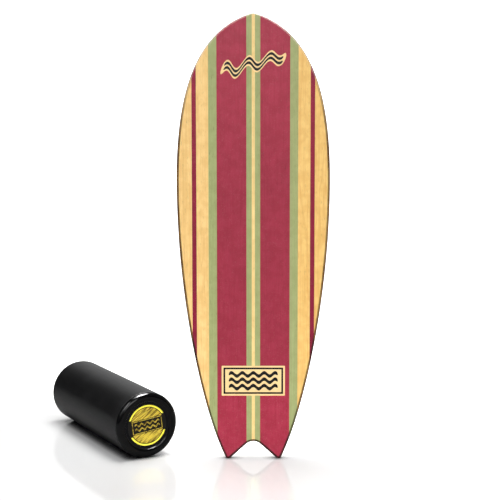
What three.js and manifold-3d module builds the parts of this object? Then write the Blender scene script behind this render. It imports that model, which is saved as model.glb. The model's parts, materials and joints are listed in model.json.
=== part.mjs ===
// A roller balance board: a fish-tailed laminated wooden deck, stood upright on its two tail tips,
// and the hollow plastic roller it rides on, lying on the floor beside it.
// Millimetres, +Z up, floor at z = 0. The origin is the bottom centre of the set's bounding box.

import * as THREE from 'three';
import { mergeVertices } from 'three/addons/utils/BufferGeometryUtils.js';
import Module from 'manifold-3d';

const wasm = await Module();
wasm.setup();

const point = (x, y) => new THREE.Vector2(x, y);

// ---------------------------------------------------------------- driving sizes: deck
const DECK_LENGTH = 1100;
const DECK_WIDTH = 375;
const WIDEST_AT = 691; // height of the widest point above the tail tips
const TIP_OUTER = 67.5; // half the distance between the outer corners of the tail tips
const NOTCH_DEPTH = 43.5; // how far the fish tail is cut up between the tips
const NOTCH_RADIUS = 26; // round at the top of the cut
const NOTCH_ANGLE = THREE.MathUtils.degToRad(41.6); // slope of the cut's straight sides
const EDGE_RADIUS = 3.2; // roundover along both faces
const VENEER = 0.7; // thickness of the face and back veneers
const PLY_PITCH = 1.8; // one ply and its glue line
const PLY_COUNT = 7;
const GLUE_LINE = 0.02; // film of glue between layers and between the veneer strips
const DECK_THICKNESS = PLY_COUNT * PLY_PITCH + 2 * VENEER;

// Half the striped face, from the centre line out: each band's outer edge and its veneer.
// The last band is cut off by the deck's own edge.
const CENTRE_BAND = 4;
const BANDS = [
  { name: 'inner_green', edge: 16.9, finish: 'green' },
  { name: 'wide_red', edge: 89.3, finish: 'red' },
  { name: 'outer_green', edge: 109.3, finish: 'green' },
  { name: 'inner_natural', edge: 139.2, finish: 'natural' },
  { name: 'thin_red', edge: 150, finish: 'red' },
  { name: 'outer_natural', edge: DECK_WIDTH, finish: 'natural' },
];

// ---------------------------------------------------------------- driving sizes: badges on the deck
const FILM = 0.2; // thickness of a badge
const FILM_GAP = 0.05; // its adhesive
const TAIL_BADGE = { width: 157, height: 75.5, centre: 197.7, corner: 2 };
const NOSE_BADGE = {
  length: 164,
  centre: 977,
  rise: 13, // height of the first wave above the line they run along
  fade: 0.4, // share of it lost by the last wave
  waves: 3,
  stroke: 12, // half the band's height
  lean: 0.4, // how far the waves lean forward
  tilt: THREE.MathUtils.degToRad(14), // of the line they run along
};

// ---------------------------------------------------------------- driving sizes: end stops under the deck
const STOP = { length: 180, width: 24, height: 16, edge: 2.5, heights: { tail: 150, nose: 930 } };
const SCREW_OFFSETS = { left: -62, middle: 0, right: 62 };
const SCREW = { shank: 2.1, head: 4.2, headHeight: 2.6, sunk: 0.3, point: 3, length: 25 };
const DRILL_CLEARANCE = 0.15;
const DRILLED_PLIES = 5; // counted from the back of the deck

// ---------------------------------------------------------------- driving sizes: roller
const ROLLER_RADIUS = 82.5;
const ROLLER_LENGTH = 457; // over the crowns of both end caps
const TUBE_WALL = 6.4;
const CAP_HEIGHT = 12; // how far a cap stands out of the tube, and the radius of its outer edge
const CAP = { dish: 4, dishRadius: 59, crown: 62.5, plate: 4, spigotWall: 4, spigotLength: 24, lead: 2 };
const SEAM = 0.1; // gap at a cap's shoulder
const SPIGOT_GAP = 0.3;
const END_BADGE_RADIUS = 52.4;
const ROUND = 48; // sides of the roller's round parts
const SCREW_SIDES = 12;

// ---------------------------------------------------------------- driving sizes: how the set stands
const ROLLER_YAW = THREE.MathUtils.degToRad(29.7); // turn of the roller about +Z from lying along Y
const ROLLER_PLACE = point(-376.2, 195.9); // roller's middle, seen from the middle of the tail tips

// ---------------------------------------------------------------- materials
const wood = (color) => new THREE.MeshStandardMaterial({ color, roughness: 0.6, metalness: 0 });
const FINISH = {
  natural: wood(0xecc98a),
  red: wood(0xa33b4d),
  green: wood(0xa8b27a),
  yellow: wood(0xf4d794),
  longPly: wood(0x8a6238),
  crossPly: wood(0x6b4726),
  back: wood(0xe0bf86),
  film: new THREE.MeshStandardMaterial({ color: 0xf6dfa6, roughness: 0.45, metalness: 0 }),
  stop: wood(0xd9b98a),
  steel: new THREE.MeshStandardMaterial({ color: 0xb9bcc0, roughness: 0.3, metalness: 1 }),
  tube: new THREE.MeshStandardMaterial({ color: 0x1c1c1e, roughness: 0.5, metalness: 0 }),
  cap: new THREE.MeshStandardMaterial({ color: 0x0d0d0f, roughness: 0.15, metalness: 0 }),
  endFilm: new THREE.MeshStandardMaterial({ color: 0xd8b83a, roughness: 0.4, metalness: 0 }),
};

// ---------------------------------------------------------------- helpers
/** A closed geometry as a solid that can be cut. */
function solidOf(geometry) {
  const bare = geometry.clone();
  bare.deleteAttribute('normal');
  bare.deleteAttribute('uv');
  const merged = mergeVertices(bare, 1e-4);
  return new wasm.Manifold(
    new wasm.Mesh({
      numProp: 3,
      vertProperties: merged.attributes.position.array,
      triVerts: new Uint32Array(merged.index.array),
    }),
  );
}

/** A cut solid as a geometry again. */
function geometryOf(solid) {
  const mesh = solid.getMesh();
  const geometry = new THREE.BufferGeometry();
  geometry.setAttribute('position', new THREE.BufferAttribute(new Float32Array(mesh.vertProperties), 3));
  geometry.setIndex(new THREE.BufferAttribute(new Uint32Array(mesh.triVerts), 1));
  geometry.computeVertexNormals();
  return geometry;
}

/** A named mesh, added to its group. */
function add(group, name, geometry, material) {
  const mesh = new THREE.Mesh(geometry, material);
  mesh.name = name;
  group.add(mesh);
  return mesh;
}

/** A plate of a flat outline, from one height to another. */
function plate(outline, bottom, top) {
  const geometry = new THREE.ExtrudeGeometry(new THREE.Shape(outline), {
    depth: top - bottom,
    bevelEnabled: false,
  });
  return geometry.translate(0, 0, bottom);
}

/** A closed anticlockwise outline moved inwards by a distance, with mitred corners. */
function insetOutline(outline, distance) {
  return outline.map((corner, i) => {
    const before = outline[(i + outline.length - 1) % outline.length];
    const after = outline[(i + 1) % outline.length];
    const along = corner.clone().sub(before).normalize();
    const onward = after.clone().sub(corner).normalize();
    const mitre = point(-along.y - onward.y, along.x + onward.x);
    const stretch = distance / (1 + along.dot(onward));
    return corner.clone().addScaledVector(mitre, stretch);
  });
}

/** A turned shape: a closed profile of (radius, height) points spun about +Y. */
const turned = (profile, sides) =>
  new THREE.LatheGeometry(profile.map(([radius, height]) => point(radius, height)), sides);

// ---------------------------------------------------------------- deck outline
// Drawn face on: X across the deck, Y up its length from the tail tips.
const halfWidth = DECK_WIDTH / 2;
const noseSide = new THREE.CubicBezierCurve(
  point(0, DECK_LENGTH),
  point(148, 1056),
  point(halfWidth, 892),
  point(halfWidth, WIDEST_AT),
);
const tailSide = new THREE.CubicBezierCurve(
  point(halfWidth, WIDEST_AT),
  point(halfWidth, 387),
  point(119, 100),
  point(TIP_OUTER, 0),
);

/** Half of the tail cut, from its top on the centre line down its round and its straight side to a tip. */
function notchSide() {
  const steps = 5;
  const round = Array.from({ length: steps + 1 }, (_, i) => {
    const angle = (NOTCH_ANGLE * i) / steps;
    return point(NOTCH_RADIUS * Math.sin(angle), NOTCH_DEPTH - NOTCH_RADIUS * (1 - Math.cos(angle)));
  });
  const foot = round[steps];
  return [...round, point(foot.x + foot.y / Math.tan(NOTCH_ANGLE), 0)];
}

/** The whole outline, anticlockwise from the top of the tail cut. */
function deckOutline() {
  const right = [
    ...notchSide(),
    ...tailSide.getPoints(16).reverse(),
    ...noseSide.getPoints(22).reverse().slice(1),
  ];
  const left = right
    .slice(1, -1)
    .reverse()
    .map((p) => point(-p.x, p.y));
  return [...right, ...left];
}

/** How far the roundover pulls the outline in at a depth below the nearer face. */
function roundover(depth) {
  const below = Math.max(EDGE_RADIUS - depth, 0);
  return EDGE_RADIUS - Math.sqrt(EDGE_RADIUS ** 2 - below ** 2);
}

// ---------------------------------------------------------------- screws
// A screw is turned about +Y with its head up and y = 0 on the stop's face, then laid along -Z.
const SCREW_TURN = -Math.PI / 2;
const deckBack = -DECK_THICKNESS / 2;
const stopFace = deckBack - GLUE_LINE - STOP.height;

/** A countersunk wood screw. */
const screwGeometry = () => {
  const { shank, head, headHeight, sunk, point: pointLength, length } = SCREW;
  const tip = -sunk - length;
  return turned(
    [
      [0, tip],
      [shank * 0.3, tip],
      [shank, tip + pointLength],
      [shank, -sunk - headHeight],
      [head, -sunk],
      [0, -sunk],
    ],
    SCREW_SIDES,
  );
};

/** The hole for one screw: its own shape with clearance, open to the stop's face. */
const screwHole = () => {
  const { shank, head, headHeight, sunk, length } = SCREW;
  const bore = shank + DRILL_CLEARANCE;
  const mouth = head + DRILL_CLEARANCE;
  return turned(
    [
      [0, -sunk - length - DRILL_CLEARANCE],
      [bore, -sunk - length - DRILL_CLEARANCE],
      [bore, -sunk - headHeight - DRILL_CLEARANCE],
      [mouth, -sunk - DRILL_CLEARANCE],
      [mouth, sunk],
      [0, sunk],
    ],
    SCREW_SIDES,
  );
};

/** All the screw holes as one solid. */
const screwHoles = Object.values(STOP.heights)
  .flatMap((height) =>
    Object.values(SCREW_OFFSETS).map((across) =>
      solidOf(screwHole().rotateX(SCREW_TURN).translate(across, height, stopFace)),
    ),
  )
  .reduce((all, hole) => all.add(hole));

// ---------------------------------------------------------------- deck layers
// In the deck's own group +Z is the way the standing face looks, and z = 0 is the middle ply's middle.
const outline = deckOutline();

/** One flat layer of the deck, its edge following the roundover. */
function layer(bottom, top) {
  const depth = DECK_THICKNESS / 2 - Math.abs((bottom + top) / 2);
  return plate(insetOutline(outline, roundover(depth)), bottom + GLUE_LINE / 2, top - GLUE_LINE / 2);
}

/** The striped face: one strip of dyed or plain veneer for each band. */
function addFaceVeneer(deck) {
  const front = DECK_THICKNESS / 2;
  const sheet = solidOf(layer(front - VENEER, front));
  const strip = (name, from, to, finish) => {
    const width = to - from - GLUE_LINE;
    const slab = new THREE.BoxGeometry(width, 2 * DECK_LENGTH, DECK_THICKNESS);
    slab.translate((from + to) / 2, DECK_LENGTH / 2, front);
    add(deck, name, geometryOf(sheet.intersect(solidOf(slab))), FINISH[finish]);
  };
  strip('face_centre_yellow', -CENTRE_BAND, CENTRE_BAND, 'yellow');
  BANDS.forEach((band, i) => {
    const inner = i ? BANDS[i - 1].edge : CENTRE_BAND;
    strip(`face_left_${band.name}`, -band.edge, -inner, band.finish);
    strip(`face_right_${band.name}`, inner, band.edge, band.finish);
  });
}

/** The plies, numbered from the standing face, with the grain along the deck in every other one. */
function addPlies(deck) {
  for (let i = 0; i < PLY_COUNT; i += 1) {
    const top = DECK_THICKNESS / 2 - VENEER - i * PLY_PITCH;
    const blank = layer(top - PLY_PITCH, top);
    const drilled = PLY_COUNT - i <= DRILLED_PLIES;
    const geometry = drilled ? geometryOf(solidOf(blank).subtract(screwHoles)) : blank;
    const grain = i % 2 ? 'long' : 'cross';
    add(deck, `ply_${i + 1}_${grain}_grain`, geometry, FINISH[`${grain}Ply`]);
  }
}

/** The plain sheet on the underside. */
function addBackVeneer(deck) {
  const sheet = solidOf(layer(deckBack, deckBack + VENEER)).subtract(screwHoles);
  add(deck, 'back_veneer', geometryOf(sheet), FINISH.back);
}

// ---------------------------------------------------------------- badges
const filmBottom = DECK_THICKNESS / 2 + FILM_GAP;

/** The framed badge above the tail. */
function addTailBadge(deck) {
  const { width, height, centre, corner } = TAIL_BADGE;
  const right = width / 2 - corner;
  const top = height / 2 - corner;
  const shape = new THREE.Shape();
  shape.absarc(right, top, corner, 0, Math.PI / 2);
  shape.absarc(-right, top, corner, Math.PI / 2, Math.PI);
  shape.absarc(-right, -top, corner, Math.PI, 1.5 * Math.PI);
  shape.absarc(right, -top, corner, 1.5 * Math.PI, 2 * Math.PI);
  const badge = add(deck, 'tail_badge', plate(shape.getPoints(3), 0, FILM), FINISH.film);
  badge.position.set(0, centre, filmBottom);
}

/** The wave badge below the nose: a band along leaning waves that grow smaller from left to right. */
function addNoseBadge(deck) {
  const { length, centre, rise, fade, waves, stroke, lean, tilt } = NOSE_BADGE;
  const steps = 60;
  const edge = (side) =>
    Array.from({ length: steps + 1 }, (_, i) => {
      const along = i / steps;
      const wave = rise * (1 - fade * along) * Math.sin(2 * Math.PI * waves * along);
      const up = wave + side * stroke;
      return point((along - 0.5) * length + lean * up, up).rotateAround(point(0, 0), tilt);
    });
  const badge = add(deck, 'nose_badge', plate([...edge(-1), ...edge(1).reverse()], 0, FILM), FINISH.film);
  badge.position.set(0, centre, filmBottom);
}

// ---------------------------------------------------------------- end stops
/** A round-ended hardwood bar, drilled for its screws. */
function stopGeometry(height) {
  const end = STOP.width / 2 - STOP.edge;
  const reach = (STOP.length - STOP.width) / 2;
  const shape = new THREE.Shape();
  shape.absarc(reach, 0, end, -Math.PI / 2, Math.PI / 2);
  shape.absarc(-reach, 0, end, Math.PI / 2, 1.5 * Math.PI);
  const bar = new THREE.ExtrudeGeometry(shape, {
    depth: STOP.height - 2 * STOP.edge,
    curveSegments: 6,
    bevelEnabled: true,
    bevelSize: STOP.edge,
    bevelThickness: STOP.edge,
    bevelSegments: 2,
  });
  bar.translate(0, height, stopFace + STOP.edge);
  return geometryOf(solidOf(bar).subtract(screwHoles));
}

/** Both stops, each with its three screws. */
function addStops(deck) {
  for (const [end, height] of Object.entries(STOP.heights)) {
    add(deck, `${end}_stop`, stopGeometry(height), FINISH.stop);
    for (const [side, across] of Object.entries(SCREW_OFFSETS)) {
      const screw = add(deck, `${end}_stop_screw_${side}`, screwGeometry(), FINISH.steel);
      screw.rotation.x = SCREW_TURN;
      screw.position.set(across, height, stopFace);
    }
  }
}

// ---------------------------------------------------------------- roller
const tubeLength = ROLLER_LENGTH - 2 * CAP_HEIGHT;
const tubeBore = ROLLER_RADIUS - TUBE_WALL;

/** The tube, along +Y about its middle. */
const tubeGeometry = () => {
  const end = tubeLength / 2 - SEAM;
  return turned(
    [
      [tubeBore, -end],
      [ROLLER_RADIUS, -end],
      [ROLLER_RADIUS, end],
      [tubeBore, end],
      [tubeBore, -end],
    ],
    ROUND,
  );
};

/** The quarter circle from a cap's shoulder up to its crown, as [radius, height] points. */
function shoulderArc(steps) {
  return Array.from({ length: steps + 1 }, (_, i) => {
    const angle = (Math.PI / 2) * (i / steps);
    return [ROLLER_RADIUS - CAP_HEIGHT * (1 - Math.cos(angle)), CAP_HEIGHT * Math.sin(angle)];
  });
}

/** An end cap: a spigot in the tube, a round shoulder, a crown and a shallow dish. Its shoulder is at 0. */
const capGeometry = () => {
  const spigot = tubeBore - SPIGOT_GAP;
  const hollow = spigot - CAP.spigotWall;
  const dish = CAP_HEIGHT - CAP.dish;
  const under = dish - CAP.plate;
  return turned(
    [
      [0, under],
      [hollow, under],
      [hollow, -CAP.spigotLength],
      [spigot - CAP.lead, -CAP.spigotLength],
      [spigot, CAP.lead - CAP.spigotLength],
      [spigot, 0],
      ...shoulderArc(5),
      [CAP.crown, CAP_HEIGHT],
      [CAP.dishRadius, dish],
      [0, dish],
    ],
    ROUND,
  );
};

const endBadgeGeometry = () =>
  new THREE.CylinderGeometry(END_BADGE_RADIUS, END_BADGE_RADIUS, FILM, ROUND);

/** The roller, along +Y about its middle: a tube with a cap and a badge at each end. */
function addRoller(roller) {
  add(roller, 'roller_tube', tubeGeometry(), FINISH.tube);
  for (const [end, turn] of [
    ['front', Math.PI],
    ['rear', 0],
  ]) {
    const cap = new THREE.Group();
    cap.rotation.x = turn;
    cap.position.y = (turn ? -1 : 1) * (tubeLength / 2);
    roller.add(cap);
    add(cap, `${end}_end_cap`, capGeometry(), FINISH.cap);
    const badge = add(cap, `${end}_end_badge`, endBadgeGeometry(), FINISH.endFilm);
    badge.position.y = CAP_HEIGHT - CAP.dish + FILM_GAP + FILM / 2;
  }
}

// ---------------------------------------------------------------- the set
const deck = new THREE.Group();
addFaceVeneer(deck);
addPlies(deck);
addBackVeneer(deck);
addTailBadge(deck);
addNoseBadge(deck);
addStops(deck);
deck.rotation.x = Math.PI / 2; // stands on its tail tips, with the striped face towards -Y

const roller = new THREE.Group();
addRoller(roller);
roller.rotation.z = ROLLER_YAW; // its front end points towards -Y and +X
roller.position.set(ROLLER_PLACE.x, ROLLER_PLACE.y, ROLLER_RADIUS);

const stance = new THREE.Group();
stance.add(deck, roller);
stance.updateMatrixWorld(true);
const middle = new THREE.Box3().setFromObject(stance, true).getCenter(new THREE.Vector3());
stance.position.set(-middle.x, -middle.y, 0);

const balanceBoard = new THREE.Group();
balanceBoard.add(stance);

export default balanceBoard;
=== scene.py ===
"""The looks of a roller balance board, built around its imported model.

A striped, laminated, fish-tailed wooden deck stands upright on its two tail tips. The hollow black
plastic roller that it rides on lies on the floor beside it. Everything is in metres, in the frame of
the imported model: +Z up, the floor at z = 0, and the striped face looks along -Y.
"""

import json
import logging
import math
from collections.abc import Iterable, Sequence
from dataclasses import dataclass
from enum import Enum
from functools import cache
from typing import Any, ClassVar

import bmesh
import bpy
from mathutils import Matrix, Vector
from mathutils.geometry import interpolate_bezier


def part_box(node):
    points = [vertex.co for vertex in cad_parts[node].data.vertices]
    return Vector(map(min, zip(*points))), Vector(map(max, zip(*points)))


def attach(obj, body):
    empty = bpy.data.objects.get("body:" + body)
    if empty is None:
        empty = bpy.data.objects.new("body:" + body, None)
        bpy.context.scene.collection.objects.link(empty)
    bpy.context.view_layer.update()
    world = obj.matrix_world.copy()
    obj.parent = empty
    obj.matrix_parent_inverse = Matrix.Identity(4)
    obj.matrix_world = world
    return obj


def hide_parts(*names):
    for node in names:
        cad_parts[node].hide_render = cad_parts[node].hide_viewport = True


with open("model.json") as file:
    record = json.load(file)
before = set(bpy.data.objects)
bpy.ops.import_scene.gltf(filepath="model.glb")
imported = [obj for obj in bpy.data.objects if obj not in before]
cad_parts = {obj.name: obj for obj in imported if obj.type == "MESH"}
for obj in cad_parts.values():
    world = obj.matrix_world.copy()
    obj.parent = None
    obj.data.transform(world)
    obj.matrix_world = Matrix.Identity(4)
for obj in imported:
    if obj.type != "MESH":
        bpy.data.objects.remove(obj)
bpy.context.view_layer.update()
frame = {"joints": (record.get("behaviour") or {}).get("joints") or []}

LOG = logging.getLogger("balance_board")
MM = 0.001
TURN = 2 * math.pi
SQUARE = ((-1, -1), (1, -1), (1, 1), (-1, 1))
SHARP = 35.0
DECK_SHARP = 50.0
Colour = tuple[float, float, float, float]
Point = tuple[float, float]
Mesh = bpy.types.Mesh
Material = bpy.types.Material
Path = list[Vector]
SOCKET_KINDS = {float: "NodeSocketFloat", int: "NodeSocketInt", tuple: "NodeSocketVector",
                Mesh: "NodeSocketGeometry", Material: "NodeSocketMaterial"}


class Body(Enum):
    """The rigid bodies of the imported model."""

    DECK = "deck"
    ROLLER = "roller"


class End(Enum):
    """The two ends of the roller, with the way each one faces along the roller's axis."""

    FRONT = 1
    REAR = -1


def srgb(red: int, green: int, blue: int) -> Colour:
    """Turns a display colour into the linear one that shaders take.

    Args:
        red: Red level, 0 to 255.
        green: Green level, 0 to 255.
        blue: Blue level, 0 to 255.

    Returns:
        The linear colour, opaque.
    """
    def linear(level: int) -> float:
        share = level / 255
        return share / 12.92 if share <= 0.04045 else ((share + 0.055) / 1.055) ** 2.4

    return (linear(red), linear(green), linear(blue), 1.0)


def spaced(values: dict[str, Any]) -> dict[str, Any]:
    """Turns keyword names into socket names, with a space for each _."""
    return {key.replace("_", " "): value for key, value in values.items()}


def in_scene(name: str, data: Any) -> bpy.types.Object:
    """Puts a mesh, a light or a camera into the scene as an object."""
    obj = bpy.data.objects.new(name, data)
    bpy.context.scene.collection.objects.link(obj)
    return obj


# ---------------------------------------------------------------------------------------- node wiring
class Value:
    """A node's output in a formula, where each operator adds the math node that it stands for."""

    def __init__(self, wiring: "Wiring", socket: bpy.types.NodeSocket) -> None:
        """Takes an output, and the wiring that adds the nodes."""
        self.wiring = wiring
        self.socket = socket

    def __add__(self, other: Any) -> "Value":
        return self.wiring.math("ADD", self, other)

    def __sub__(self, other: Any) -> "Value":
        return self.wiring.math("SUBTRACT", self, other)

    def __rsub__(self, other: Any) -> "Value":
        return self.wiring.math("SUBTRACT", other, self)

    def __mul__(self, other: Any) -> "Value":
        return self.wiring.math("MULTIPLY", self, other)

    def __truediv__(self, other: Any) -> "Value":
        return self.wiring.math("DIVIDE", self, other)

    def __rtruediv__(self, other: Any) -> "Value":
        return self.wiring.math("DIVIDE", other, self)


Values = dict[str, Value]


class Wiring:
    """Short calls for wiring a node tree of any kind."""

    def __init__(self, tree: bpy.types.NodeTree) -> None:
        """Starts on a tree."""
        self.tree = tree

    def node(self, kind: str, inputs: dict[str | int, Any] | None = None, **settings: Any) -> bpy.types.Node:
        """Adds a node.

        Args:
            kind: The node's type.
            inputs: Values for its inputs, by name or place.
            **settings: The node's own properties.

        Returns:
            The new node.
        """
        node = self.tree.nodes.new(kind)
        for key, value in settings.items():
            setattr(node, key, value)
        for key, value in (inputs or {}).items():
            self.feed(node.inputs[key], value)
        return node

    def feed(self, socket: bpy.types.NodeSocket, value: Any) -> None:
        """Links an output to an input, or sets the input to a plain value."""
        if isinstance(value, Value):
            self.tree.links.new(value.socket, socket)
        else:
            socket.default_value = value

    def read(self, node: bpy.types.Node, *names: str | int) -> list[Value]:
        """Takes some outputs of a node for use in formulas."""
        return [Value(self, node.outputs[name]) for name in names]

    def out(self, kind: str, inputs: dict[str | int, Any] | None = None, output: str | int = 0,
            **settings: Any) -> Value:
        """Adds a node as node() does, and takes one of its outputs."""
        return self.read(self.node(kind, inputs, **settings), output)[0]

    def math(self, operation: str, first: Any, second: Any = 0.0) -> Value:
        """Adds a math node on two values."""
        return self.out("ShaderNodeMath", {0: first, 1: second}, operation=operation)

    def vector(self, operation: str, first: Any, second: Any = (0, 0, 0)) -> Value:
        """Adds a vector math node on two vectors."""
        return self.out("ShaderNodeVectorMath", {0: first, 1: second}, operation=operation)

    def scaled(self, vector: Any, scale: Any) -> Value:
        """Multiplies a vector by a value."""
        return self.out("ShaderNodeVectorMath", {0: vector, "Scale": scale}, operation="SCALE")

    def rotated(self, vector: Any, angle: Any, about: str) -> Value:
        """Turns a vector about one of the main axes."""
        return self.out("ShaderNodeVectorRotate", {"Vector": vector, "Angle": angle}, rotation_type=about)

    def combine(self, x: Any, y: Any, z: Any) -> Value:
        """Makes a vector of three values."""
        return self.out("ShaderNodeCombineXYZ", {0: x, 1: y, 2: z})

    def separate(self, vector: Value) -> list[Value]:
        """Splits a vector into its three values."""
        return self.read(self.node("ShaderNodeSeparateXYZ", {0: vector}), 0, 1, 2)

    def ramp(self, value: Any, start: float, stop: float, low: float = 0.0, high: float = 1.0) -> Value:
        """Eases a value from one range into another.

        Args:
            value: What to ease.
            start: Where the ramp starts.
            stop: Where it stops.
            low: The result up to start.
            high: The result from stop.

        Returns:
            The eased value.
        """
        limits = {"Value": value, "From Min": start, "From Max": stop, "To Min": low, "To Max": high}
        return self.out("ShaderNodeMapRange", limits, interpolation_type="SMOOTHSTEP")

    def mix(self, share: Any, first: Any, second: Any, blend: str = "MIX") -> Value:
        """Mixes a share of a second colour into a first one."""
        return self.out("ShaderNodeMix", {0: share, 6: first, 7: second}, 2, data_type="RGBA",
                        blend_type=blend)

    def noise(self, vector: Any, scale: Any, detail: float = 2.0, distortion: float = 0.0) -> Value:
        """Adds a noise texture and takes its value."""
        return self.out("ShaderNodeTexNoise", {"Vector": vector, "Scale": scale, "Detail": detail,
                                               "Distortion": distortion})


class SharedTree:
    """A node tree that several places use, built once, the first time it is asked for.

    An input's default says which kind it is. A type in its place stands for an input without one.
    """

    kind: ClassVar[str]
    output_kind: ClassVar[str]
    name: ClassVar[str]
    inputs: ClassVar[dict[str, Any]]
    outputs: ClassVar[tuple[str, ...]]

    @classmethod
    def wire(cls, wiring: Wiring, given: Values) -> Values:
        """Wires the inside of the tree.

        Args:
            wiring: The tree.
            given: Its inputs.

        Returns:
            What each output is linked to.
        """
        raise NotImplementedError

    @classmethod
    @cache
    def tree(cls) -> bpy.types.NodeTree:
        """Builds the tree on first use."""
        tree = bpy.data.node_groups.new(cls.name, cls.kind)
        for name, value in cls.inputs.items():
            kind = value if isinstance(value, type) else type(value)
            socket = tree.interface.new_socket(name, in_out="INPUT", socket_type=SOCKET_KINDS[kind])
            if kind is not value:
                socket.default_value = value
        for name in cls.outputs:
            tree.interface.new_socket(name, in_out="OUTPUT", socket_type=cls.output_kind)
        wiring = Wiring(tree)
        given = dict(zip(cls.inputs, wiring.read(wiring.node("NodeGroupInput"), *cls.inputs)))
        wiring.node("NodeGroupOutput", cls.wire(wiring, given))
        return tree


class Effect(SharedTree):
    """A shader node group that gives masks and heights."""

    kind = "ShaderNodeTree"
    output_kind = SOCKET_KINDS[float]


class WoodGrain(Effect):
    """Wood with its grain along Z: growth lines, fine fibre and pores."""

    name = "wood_grain"
    inputs = {"Vector": (0.0, 0.0, 0.0), "Seed": 0.0, "Figure Width": 30 * MM, "Fibre Width": 1.2 * MM}
    outputs = ("Lines", "Fibre", "Pores")
    rings = 78.0

    @classmethod
    def wire(cls, wiring: Wiring, given: Values) -> Values:
        """Wires the lines, the fibre and the pores; see SharedTree.wire."""
        seed = given["Seed"]
        place = wiring.vector("ADD", given["Vector"], wiring.combine(seed * 0.37, seed, seed))
        figure_place, fibre_place, pore_place = (
            wiring.vector("MULTIPLY", place, (1.0, 1.0, squeeze)) for squeeze in (0.045, 0.012, 0.07))
        fibre_scale = 1.0 / given["Fibre Width"]
        figure = wiring.noise(figure_place, 1.0 / given["Figure Width"], 2.5, 0.5)
        pores = wiring.noise(pore_place, fibre_scale * 1.3, 1.0)
        return {"Lines": wiring.ramp(wiring.math("SINE", figure * cls.rings), 0.1, 1.0),
                "Fibre": wiring.noise(fibre_place, fibre_scale, 3.0),
                "Pores": wiring.ramp(pores, 0.66, 0.74)}


class GritCoat(Effect):
    """A clear coat with fine grit in it: sharp grains, and the cloudy mottling they lie in."""

    name = "grit_coat"
    inputs = {"Vector": (0.0, 0.0, 0.0), "Seed": 0.0, "Grain": 1.1 * MM, "Cloud": 16 * MM}
    outputs = ("Grit", "Mottle", "Speck")

    @classmethod
    def wire(cls, wiring: Wiring, given: Values) -> Values:
        """Wires the grains, the specks among them and the mottling; see SharedTree.wire."""
        seed, scale = given["Seed"], 1.0 / given["Grain"]
        place = wiring.vector("ADD", given["Vector"], wiring.combine(seed, seed * 0.61, seed))
        cells = wiring.out("ShaderNodeTexVoronoi", {"Vector": place, "Scale": scale}, "Distance")
        return {"Grit": wiring.ramp(cells, 0.75, 0.05),
                "Mottle": wiring.noise(place, 1.0 / given["Cloud"], 5.0, 0.3),
                "Speck": wiring.ramp(wiring.noise(place, scale * 0.45), 0.6, 0.72)}


class EdgeStainAndShade(Effect):
    """Darkening of the rounded edge, with a ragged inner border: partly a sealed, stained edge and partly
    painted shade on the sides, which face away from the top light.

    "Rim" is 1 on the roundover and falls to 0 on the flat beside it. Between the heights "Full" and "Rubbed"
    the darkening gives way towards the nose to a painted highlight: a paler colour where the nose's edge
    faces the top light.
    """

    name = "edge_stain"
    inputs = {"Vector": (0.0, 0.0, 0.0), "Rim": 0.0, "Reach": 1.0, "Rubbed": 1.02, "Full": 0.78}
    outputs = ("Stain", "Worn")

    @classmethod
    def wire(cls, wiring: Wiring, given: Values) -> Values:
        """Wires the stain and painted shade from the rim attribute and some noise, and the painted highlight
        at the nose; see SharedTree.wire.
        """
        ragged = wiring.ramp(wiring.noise(given["Vector"], 240.0, 3.0), 0.3, 0.7, 0.6, 1.4)
        pushed = given["Rim"] * ragged
        patchy = wiring.ramp(wiring.noise(given["Vector"], 14.0), 0.4, 0.6, 0.85, 1.0)
        # Painted light: 1 low on the deck and 0 high on the nose, so the edge's painted shade gives way to a
        # painted highlight where the nose faces the top light.
        low = wiring.ramp(wiring.separate(given["Vector"])[2], given["Rubbed"], given["Full"])
        return {"Stain": wiring.ramp(pushed, 0.02, 0.14) * patchy * low * given["Reach"],
                "Worn": wiring.ramp(pushed, 0.4, 0.9) * (1.0 - low)}


class Handling(Effect):
    """What hands and floors leave on a surface: smudges, and thin scratches in two directions."""

    name = "handling"
    inputs = {"Vector": (0.0, 0.0, 0.0), "Scratch Length": 60 * MM, "Smudge": 45 * MM}
    outputs = ("Smudge", "Scratch")
    turns = (0.5, 2.2)
    slimness = 24.0

    @classmethod
    def wire(cls, wiring: Wiring, given: Values) -> Values:
        """Wires the smudges and two crossing sets of scratches; see SharedTree.wire."""
        place, scale = given["Vector"], 1.0 / given["Scratch Length"]
        lines = []
        for turn in cls.turns:
            inputs = {"Vector": place, "Axis": (0.4, 0.7, 0.59), "Angle": turn}
            thin = wiring.vector("MULTIPLY", wiring.out("ShaderNodeVectorRotate", inputs),
                                 (cls.slimness, cls.slimness, 1.0))
            level = wiring.math("ABSOLUTE", wiring.noise(thin, scale, 1.0) - 0.5)
            lines.append(wiring.ramp(level, 0.006, 0.001))
        patchy = wiring.ramp(wiring.noise(place, scale * 1.7, 1.0), 0.5, 0.62)
        return {"Smudge": wiring.noise(place, 1.0 / given["Smudge"], 4.0, 0.6),
                "Scratch": wiring.math("MAXIMUM", *lines) * patchy}


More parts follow.
